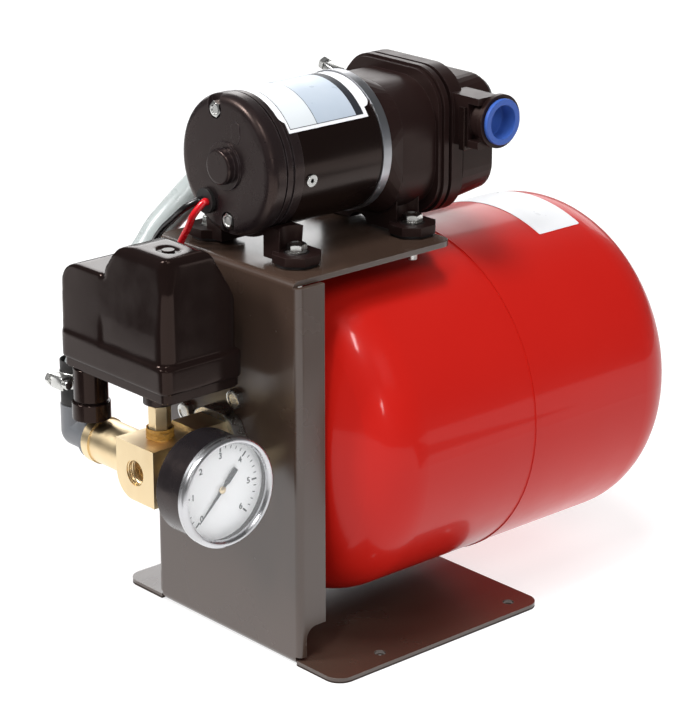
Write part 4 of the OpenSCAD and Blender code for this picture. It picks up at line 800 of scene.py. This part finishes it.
def dress_clamps():
    """Worm-drive clamps: a thin band with pressed slots, its free end, the worm's house and a screw."""
    bm = bmesh.new()
    lower = Matrix.Translation((HOSE_ROUTE[-1][0], HOSE_ROUTE[-1][1], TANK.z + 27))
    upper = (Matrix.Translation((OUT_X, PORT_Y - 23, PORT_Z)) @ Matrix.Rotation(math.radians(-90), 4, "X")
             @ Matrix.Rotation(math.radians(16), 4, "Z"))
    inside = HOSE_R + 0.06
    band = [(inside, 0.2), (CLAMP_R - 0.15, 0.0), (CLAMP_R, 0.2), (CLAMP_R, CLAMP_W - 0.2),
            (CLAMP_R - 0.15, CLAMP_W), (inside, CLAMP_W - 0.2), (inside, 0.2)]
    worm_y = -CLAMP_R - 2.6
    for at in (lower, upper):
        lathe(bm, at, band, 72)
        for k in range(SLOTS):
            slot = (at @ Matrix.Rotation(math.radians(SLOT_STEP * k - 30), 4, "Z")
                    @ Matrix.Translation((CLAMP_R, 0, 0)) @ Matrix.Rotation(0.25, 4, "X"))
            block(bm, (-0.1, -0.45, 2.4), (0.18, 0.45, CLAMP_W - 2.4), slot, 0.05)
        block(bm, (-4.6, -CLAMP_R - 5.6, 0.5), (7.0, -CLAMP_R + 0.9, CLAMP_W - 0.5), at, 1.3)
        screw = at @ Matrix.Translation((-6.0, worm_y, CLAMP_W / 2)) @ Matrix.Rotation(math.pi / 2, 4, "Y")
        lathe(bm, screw, [(2.6, 0.0), (2.9, 0.3), (2.9, 15.2), (2.4, 15.8)], 32)
        head = at @ Matrix.Translation((-5.2, worm_y, CLAMP_W / 2)) @ Matrix.Rotation(-math.pi / 2, 4, "Y")
        hex_head(bm, head, 7.0, 3.4, 0.6)
    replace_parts(piece("worm_clamps", bm, SET, "zinc"), "hose_clamps")


def dress_wires():
    """Round insulated wires along the CAD routes, and the rubber grommets that they pass."""
    for name, node, route, finish in (("live_wire", "red_wire", RED_ROUTE, "red_pvc"),
                                      ("return_wire", "black_wire", BLACK_ROUTE, "black_pvc")):
        bm = bmesh.new()
        cord(bm, curve_through(route, 8), WIRE_R, 20)
        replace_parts(piece(name, bm, SET, finish, sharp=60), node)
    soften("grommets", 0.5, "black_rubber")


# Pieces: gauge


def on_dial(radius, angle, lift=0.0):
    """A point over the dial's face, at an angle from +Y towards +Z."""
    a = math.radians(angle)
    return Vector((DIAL_HIGH.x + lift, GAUGE.y + radius * math.cos(a), GAUGE.z + radius * math.sin(a)))


def dial_frame(radius, angle, lift, turn=0.0):
    """A frame on the dial: x to the reader's right, y up, z towards the reader, then turned."""
    to_reader = Matrix(((0, 0, 1), (1, 0, 0), (0, 1, 0))).to_4x4()
    turned = Matrix.Rotation(math.radians(turn), 4, "Z")
    return Matrix.Translation(on_dial(radius, angle, lift)) @ to_reader @ turned


# The scale: where zero is, degrees from number to number, how many numbers, and short steps between two
ZERO_ANGLE, NUMBER_STEP, NUMBERS, FIFTHS = 225.0, 45.0, 7, 5
# Length and width of its marks, and the shares of the dial's radius that the marks and numbers reach
LONG_MARK, SHORT_MARK = (3.4, 1.0), (1.8, 0.5)
MARK_SHARE, NUMBER_SHARE = 0.87, 0.67


def dress_dial(sizes):
    """Dial with its scale: a number at each whole bar, long marks at the numbers and short ones between."""
    paint("gauge_dial", "dial_white")
    bm = bmesh.new()
    for k in range((NUMBERS - 1) * FIFTHS + 1):
        angle = ZERO_ANGLE - NUMBER_STEP * k / FIFTHS
        length, width = SHORT_MARK if k % FIFTHS else LONG_MARK
        at = dial_frame(DIAL_R * MARK_SHARE, angle, 0.01, angle)
        block(bm, (-length, -width / 2, 0.0), (0.0, width / 2, 0.06), at)
    piece("dial_scale", bm, SET, "needle_black")
    for k in range(NUMBERS):
        text = bpy.data.curves.new(f"number_{k}", "FONT")
        text.body = str(k)
        text.size = sizes.number_size / MM
        text.align_x, text.align_y = "CENTER", "CENTER"
        text.extrude = 0.03
        text.offset = 0.12
        holder = bpy.data.objects.new("number", text)
        bpy.context.scene.collection.objects.link(holder)
        bpy.context.view_layer.update()
        bm = bmesh.new()
        bm.from_mesh(holder.to_mesh())
        holder.to_mesh_clear()
        bpy.data.objects.remove(holder)
        at = dial_frame(DIAL_R * NUMBER_SHARE, ZERO_ANGLE - NUMBER_STEP * k, 0.05)
        bmesh.ops.transform(bm, matrix=at, verts=bm.verts)
        piece(f"dial_number_{k}", bm, SET, "needle_black")
    paint("gauge_glass", "glass")


def dress_gauge_case():
    """Pressed case with a rolled, polished bezel."""
    soften("gauge_case", 0.6, "gauge_black")
    low, high = span("gauge_bezel")
    outer, depth = (high.y - low.y) / 2, high.x - low.x
    bm = bmesh.new()
    seat = outer - 1.55
    profile = [(seat, 3.0), (seat, 0.0), (outer - 0.5, 0.0), (outer, 0.5), (outer, 2.2), (outer - 0.25, 2.5),
               (outer - 0.25, 3.0), (outer, 3.3), (outer, depth - 1.8), (outer - 0.35, depth - 0.9),
               (outer - 1.1, depth - 0.2), (outer - 2.0, depth), (outer - 2.9, depth - 0.25),
               (outer - 3.6, depth - 1.1), (outer - 4.15, depth - 2.2), (outer - 4.15, 3.0), (seat, 3.0)]
    lathe(bm, place((low.x, GAUGE.y, GAUGE.z), (1, 0, 0)), profile, 128)
    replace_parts(piece("rolled_bezel", bm, SET, "chrome"), "gauge_bezel")


# How far the pointer's tail and tip reach from its arbor
POINTER_TAIL, POINTER_TIP = -14.0, 22.3


def dress_pointer():
    """Pointer: a tapered blade with a broad tail, a domed brass hub, and the arbor with its pinion behind."""
    low, high = span("gauge_needle")
    plane = high.x
    bm = bmesh.new()
    at = dial_frame(0.0, 0.0, plane - DIAL_HIGH.x - 0.5, ZERO_ANGLE)
    half = [(POINTER_TAIL, 1.7), (-5.0, 1.7), (-4.0, 0.9), (0.0, 1.1), (POINTER_TIP, 0.22)]
    outline = [(x, -y) for x, y in half] + half[::-1]
    lower = [bm.verts.new(at @ Vector((x, y, 0.0))) for x, y in outline]
    upper = [bm.verts.new(at @ Vector((x, y, 0.35))) for x, y in outline]
    bridge(bm, lower, upper)
    bm.faces.new(list(reversed(lower)))
    bm.faces.new(upper)
    lathe(bm, place((low.x, GAUGE.y, GAUGE.z), (1, 0, 0)),
          [(0.7, 0.0), (0.7, 2.3), (1.6, 2.3), (1.6, 5.3), (0.7, 5.3), (0.7, plane - low.x - 0.1)], 24)
    blade = piece("pointer_blade", bm, "pointer", "needle_black")
    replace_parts(blade, "gauge_needle")
    bm = bmesh.new()
    lathe(bm, place((plane - 0.15, GAUGE.y, GAUGE.z), (1, 0, 0)),
          [(2.1, 0.0), (2.1, 0.4), (1.7, 0.9), (0.9, 1.2), (0.0, 1.3)], 48)
    piece("pointer_hub", bm, "pointer", "brass")
    for node in ("gauge_movement", "gauge_sector", "bourdon_tube"):
        soften(node, 0.1, "brass", 1)


def dress_gauge(sizes):
    """The whole gauge."""
    dress_gauge_case()
    dress_dial(sizes)
    dress_pointer()


# Pieces: pressure switch


def dress_switch():
    """Cover with moulded fillets, base, gland and what the cover hides."""
    fillet("switch_cover", 0.75, 12, "black_plastic")
    soften("switch_base", 0.6, "black_plastic")
    soften("cable_gland", 0.6, "black_plastic")
    soften("cover_screw", 0.3, "black_plastic")
    for node, finish in (("terminal_block", "white_plastic"), ("contact_lever", "steel"),
                         ("switch_plunger", "steel"), ("switch_flange", "gauge_black")):
        soften(node, 0.3, finish, 2)
    dress_spring()


# Turns of the main spring, radius of its wire, and how much more than the plunger's travel it gives
SPRING_TURNS, SPRING_WIRE_R, SPRING_SPARE = 6, 0.9, 0.05


def dress_spring():
    """The switch's main spring, wound from round wire over the height of the CAD spring, on a mesh of its
    own. It stays as wound; in the switch the lever presses its foot up as the plunger lifts.
    """
    low, high = span("switch_spring")
    centre, tall = (low + high) / 2, high.z - low.z
    coil_r = (high.x - low.x) / 2 - SPRING_WIRE_R
    steps = 36 * SPRING_TURNS
    line = []
    for k in range(steps + 1):
        a = 2 * math.pi * SPRING_TURNS * k / steps
        z = low.z + SPRING_WIRE_R + (tall - 2 * SPRING_WIRE_R) * k / steps
        line.append(Vector((coil_r * math.cos(a), centre.y + coil_r * math.sin(a), z)))
    bm = bmesh.new()
    cord(bm, line, SPRING_WIRE_R, 12)
    spring = piece("main_spring", bm, SET, "steel", sharp=60)
    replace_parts(spring, "switch_spring")
    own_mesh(spring)


# Pieces: motor and pump


def dress_motor(sizes):
    """Painted can with bare labels, die-cast end cap, bright ring, rivet and bolts."""
    paint("motor_can", "can_paint")
    soften("motor_cap", 0.6, "cap_paint")
    soften("motor_ring", 0.35, "ring_alloy")
    soften("can_rivet", 0.3, "zinc")
    dress_bolts("through_bolts", "motor_bolts", (0, -1, 0), 8.0, 4.2)
    dress_labels(sizes)
    for node, finish in (("magnets", "magnet"), ("rotor_shaft", "steel"), ("armature", "laminations"),
                         ("commutator", "copper"), ("brush_gear", "black_plastic")):
        soften(node, 0.3, finish, 1)
    dress_windings()


# Upper end of the can's labels, in degrees from +X
LABEL_TOP = 122.0


def dress_labels(sizes):
    """Bare labels on the can: a rounded one, and over it one with a frame line, two fields and a band."""
    front, back = sizes.label_front / MM, sizes.label_back / MM
    foot, top = math.degrees(sizes.label_foot), LABEL_TOP
    line, inset = 0.4, 1.9

    def sheet(name, finish, layer, y0, y1, margin, corner=0.3):
        bm = bmesh.new()
        turn = math.degrees(margin / CAN_R)
        radius = CAN_R + 0.05 + layer * FILM
        wrap(bm, MOTOR.x, MOTOR.z, radius, FILM, (y0, y1), (foot + turn, top - turn), corner)
        piece(name, bm, SET, finish)

    sheet("rounded_label", "label_white", 0, front - 2.6, back + 5.0, 6.0, 5.0)
    sheet("can_label", "label_white", 1, front, back, 0.0)
    sheet("label_line", "label_ink", 1.2, front + 1.5, back - 2.6, inset)
    divide, band = front + 20.6, back - 7.9
    sheet("label_head", "label_pale", 1.4, front + 1.5 + line, divide, inset + line)
    sheet("label_field", "label_blue", 1.4, divide + line, band, inset + line)


def dress_windings():
    """The winding's two end turns, bulging between the armature's teeth."""
    low, high = span("armature")
    bm = bmesh.new()
    for y, way in ((low.y + 0.2, -1), (high.y - 2.2, 1)):
        at = place((MOTOR.x, y, MOTOR.z), (0, way, 0))

        def bulge(a):
            return 15.5 + 1.1 * math.cos(math.radians(8 * a))

        rings = [ring_of(bm, at, radius, height, 96) for radius, height in
                 ((9.0, 0.0), (bulge, 0.0), (bulge, 2.2), (13.0, 3.6), (9.0, 3.2))]
        skin(bm, rings, capped=False)
        bridge(bm, rings[-1], rings[0])
    piece("end_turns", bm, "rotor", "winding", sharp=60)


def dress_pump():
    """Moulded housing and head with rounded edges, clip, blue plug and what turns inside."""
    soften("pump_housing", 1.0, "pump_plastic")
    soften("pump_head", 1.2, "pump_plastic")
    soften("port_clips", 0.5, "black_plastic")
    soften("inlet_plug", 0.6, "blue_plastic")
    for node, finish in (("head_screws", "zinc"), ("eccentric", "cast_alloy"), ("wobble_plate", "cast_alloy"),
                         ("diaphragm", "black_rubber")):
        soften(node, 0.3, finish, 2)


# Pieces: frame and feet


def dress_frame(sizes):
    """Folded sheet with the soft edges that powder coating leaves."""
    soften("bracket", sizes.sheet_edge / MM, "frame_paint")


def dress_feet():
    """Saddles, rubber feet, bolts with washers, and the rivet nuts under the shelf."""
    soften("front_saddle", 0.8, "pump_plastic")
    soften("rear_saddle", 0.8, "pump_plastic")
    soften("feet", 0.6, "black_rubber")
    dress_bolts("foot_bolts", "foot_bolt_set", (0, 0, 1), 10.0, 4.0, 6.2, 1.0)
    soften("rivet_nuts", 0.3, "zinc")


# The stage


# Where the photo's camera looks, in metres, the width of its sensor in millimetres, and half the floor
TARGET, SENSOR, FLOOR_HALF = Vector((7.32, 8.07, 150.19)) * MM, 36.0, 12.0

# White cards that lie round the set: middle and size along X and Y in metres, and turn in degrees
CARDS = [
    ((-0.595, 0.562), (2.01, 2.075), 0),
    ((0.45, -0.837), (0.9, 0.725), 0),
    ((0.705, -0.188), (0.59, 0.575), 0),
    ((1.005, 1.01), (1.19, 1.18), 0),
    ((-0.955, -0.68), (1.0, 0.25), 37.2),
]

# Lamps: name, the setting that gives the power and the share of it, size and place in metres, and whether
# glossy surfaces mirror the lamp
LAMPS = [
    ("key", "key", 1.0, (0.6, 0.6), (-0.9, -1.7, 1.7), True),
    ("fill", "fill", 1.0, (0.9, 0.9), (1.9, -0.5, 1.8), False),
    ("back_panel", "back", 1.0, (3.2, 1.3), (-1.9, 1.7, 1.2), True),
    ("overhead", "top", 1.0, (0.45, 0.45), (0.3, -0.2, 1.9), False),
    ("strip_high", "strip", 0.55, (0.15, 0.42), (0.67, -1.07, 1.7), True),
    ("strip_low", "strip", 0.14, (0.1, 0.22), (1.54, -1.16, 0.67), True),
]


def area_light(name, power, size, where, turn):
    """A rectangular light. The turn is an Euler rotation."""
    light = bpy.data.lights.new(name, "AREA")
    light.shape = "RECTANGLE"
    light.energy, light.size, light.size_y = power, *size
    made = bpy.data.objects.new(name, light)
    made.location = where
    made.rotation_euler = turn
    bpy.context.scene.collection.objects.link(made)
    return made


def lay_cards(level):
    """What the set reflects of the floor: cards of that brightness, hidden from the camera."""
    for k, (centre, size, turn) in enumerate(CARDS):
        power = level * math.pi * size[0] * size[1]
        card = area_light(f"card_{k}", power, size, (*centre, 0.0), (math.pi, 0, math.radians(turn)))
        card.visible_camera = False


def hang_lamps(stage):
    """The lamps, each turned towards the set."""
    for name, setting, share, size, where, reflects in LAMPS:
        turn = (TARGET - Vector(where)).to_track_quat("-Z", "Y").to_euler()
        lamp = area_light(name, share * getattr(stage, setting), size, where, turn)
        lamp.visible_glossy = reflects


def aim_camera(stage):
    """Camera at the photographed angle."""
    level_part = math.cos(stage.elevation)
    back = Vector((math.sin(stage.azimuth) * level_part, -math.cos(stage.azimuth) * level_part,
                   math.sin(stage.elevation)))
    camera = bpy.data.objects.new("camera", bpy.data.cameras.new("camera"))
    camera.data.lens = stage.lens
    camera.data.sensor_fit = "HORIZONTAL"
    camera.data.sensor_width = SENSOR
    camera.location = TARGET + back * stage.distance
    camera.rotation_euler = (-back).to_track_quat("-Z", "Y").to_euler()
    bpy.context.scene.collection.objects.link(camera)
    bpy.context.scene.camera = camera


def lay_floor(glow):
    """A plain pale floor just below the set. The cards stand in for it in reflections."""
    mesh = bpy.data.meshes.new("floor")
    corners = [(x * FLOOR_HALF, y * FLOOR_HALF, 0) for x, y in ((-1, -1), (1, -1), (1, 1), (-1, 1))]
    mesh.from_pydata(corners, [], [(0, 1, 2, 3)])
    floor = bpy.data.objects.new("floor", mesh)
    floor.location.z = -0.0002
    pale = Finish("pale_floor", "#A8A8A8", 0.8, Specular_IOR_Level=0.1, Emission_Strength=glow)
    pale.shader.inputs["Emission Color"].default_value = linear("#FFFFFF")
    mesh.materials.append(pale.material)
    floor.visible_glossy = floor.visible_diffuse = False
    bpy.context.scene.collection.objects.link(floor)


def set_stage(stage):
    """Camera, floor, soft studio light and pale surroundings."""
    scene = bpy.context.scene
    scene.view_settings.view_transform = "Standard"
    aim_camera(stage)
    lay_floor(stage.glow)
    lay_cards(stage.card)
    hang_lamps(stage)
    scene.world = bpy.data.worlds.new("studio")
    scene.world.use_nodes = True
    sky = scene.world.node_tree.nodes["Background"]
    sky.inputs["Color"].default_value = linear("#F6F7F8")
    sky.inputs["Strength"].default_value = stage.room


# Operators


def operator(name, label, note, make, *groups):
    """An operator for one step: it calls a function with the groups of settings that the step needs."""

    class Step(bpy.types.Operator):
        bl_idname = f"pumpset.{name}"
        bl_label = label
        bl_description = note
        bl_options = {"REGISTER"}

        def execute(self, context):
            make(*(getattr(context.scene, group) for group in groups))
            return {"FINISHED"}

    return Step


# In the order in which main calls them
OPERATORS = (
    operator("finishes", "Finishes", "Make the finishes", make_finishes, "pump_set_colours"),
    operator("stage", "Stage", "Make the camera, floor and lights", set_stage, "pump_set_stage"),
    operator("frame", "Frame", "Dress the folded frame", dress_frame, "pump_set_sizes"),
    operator("vessel", "Vessel", "Dress the pressure vessel, its flange, label and air valve", dress_vessel),
    operator("manifold", "Manifold", "Dress the brass manifold and what is screwed into it", dress_manifold),
    operator("hose", "Hose", "Make the hose, its elbows and clamps", dress_hose),
    operator("wires", "Wires", "Make the two wires and dress their grommets", dress_wires),
    operator("gauge", "Gauge", "Make the gauge's bezel, dial and pointer", dress_gauge, "pump_set_sizes"),
    operator("switch", "Pressure switch", "Dress the pressure switch", dress_switch),
    operator("motor", "Motor", "Dress the motor and make its labels", dress_motor, "pump_set_sizes"),
    operator("pump", "Pump", "Dress the pump", dress_pump),
    operator("feet", "Feet", "Dress the saddles, feet and bolts", dress_feet),
)


class PUMPSET_PT_panel(bpy.types.Panel):
    """Shows the settings of the pump set, and a button for each step"""

    bl_label = "Booster pump set"
    bl_idname = "PUMPSET_PT_panel"
    bl_space_type = "VIEW_3D"
    bl_region_type = "UI"
    bl_category = "Pump set"

    def draw(self, context):
        for group in (getattr(context.scene, name) for name in GROUPS):
            box = self.layout.box()
            for name in group.bl_rna.properties.keys():
                if name not in ("rna_type", "name"):
                    box.prop(group, name)
        for step in OPERATORS:
            self.layout.operator(step.bl_idname)


GROUPS = {
    "pump_set_colours": PumpSetColours,
    "pump_set_sizes": PumpSetSizes,
    "pump_set_stage": PumpSetStage,
}


def register():
    for name, group in GROUPS.items():
        bpy.utils.register_class(group)
        setattr(bpy.types.Scene, name, bpy.props.PointerProperty(type=group))
    for made in (*OPERATORS, PUMPSET_PT_panel):
        bpy.utils.register_class(made)


def unregister():
    for made in reversed((*OPERATORS, PUMPSET_PT_panel)):
        bpy.utils.unregister_class(made)
    for name, group in GROUPS.items():
        delattr(bpy.types.Scene, name)
        bpy.utils.unregister_class(group)


def main():
    """Makes the whole scene."""
    register()
    for step in OPERATORS:
        group, name = step.bl_idname.split(".")
        getattr(getattr(bpy.ops, group), name)()


if __name__ == "__main__":
    main()
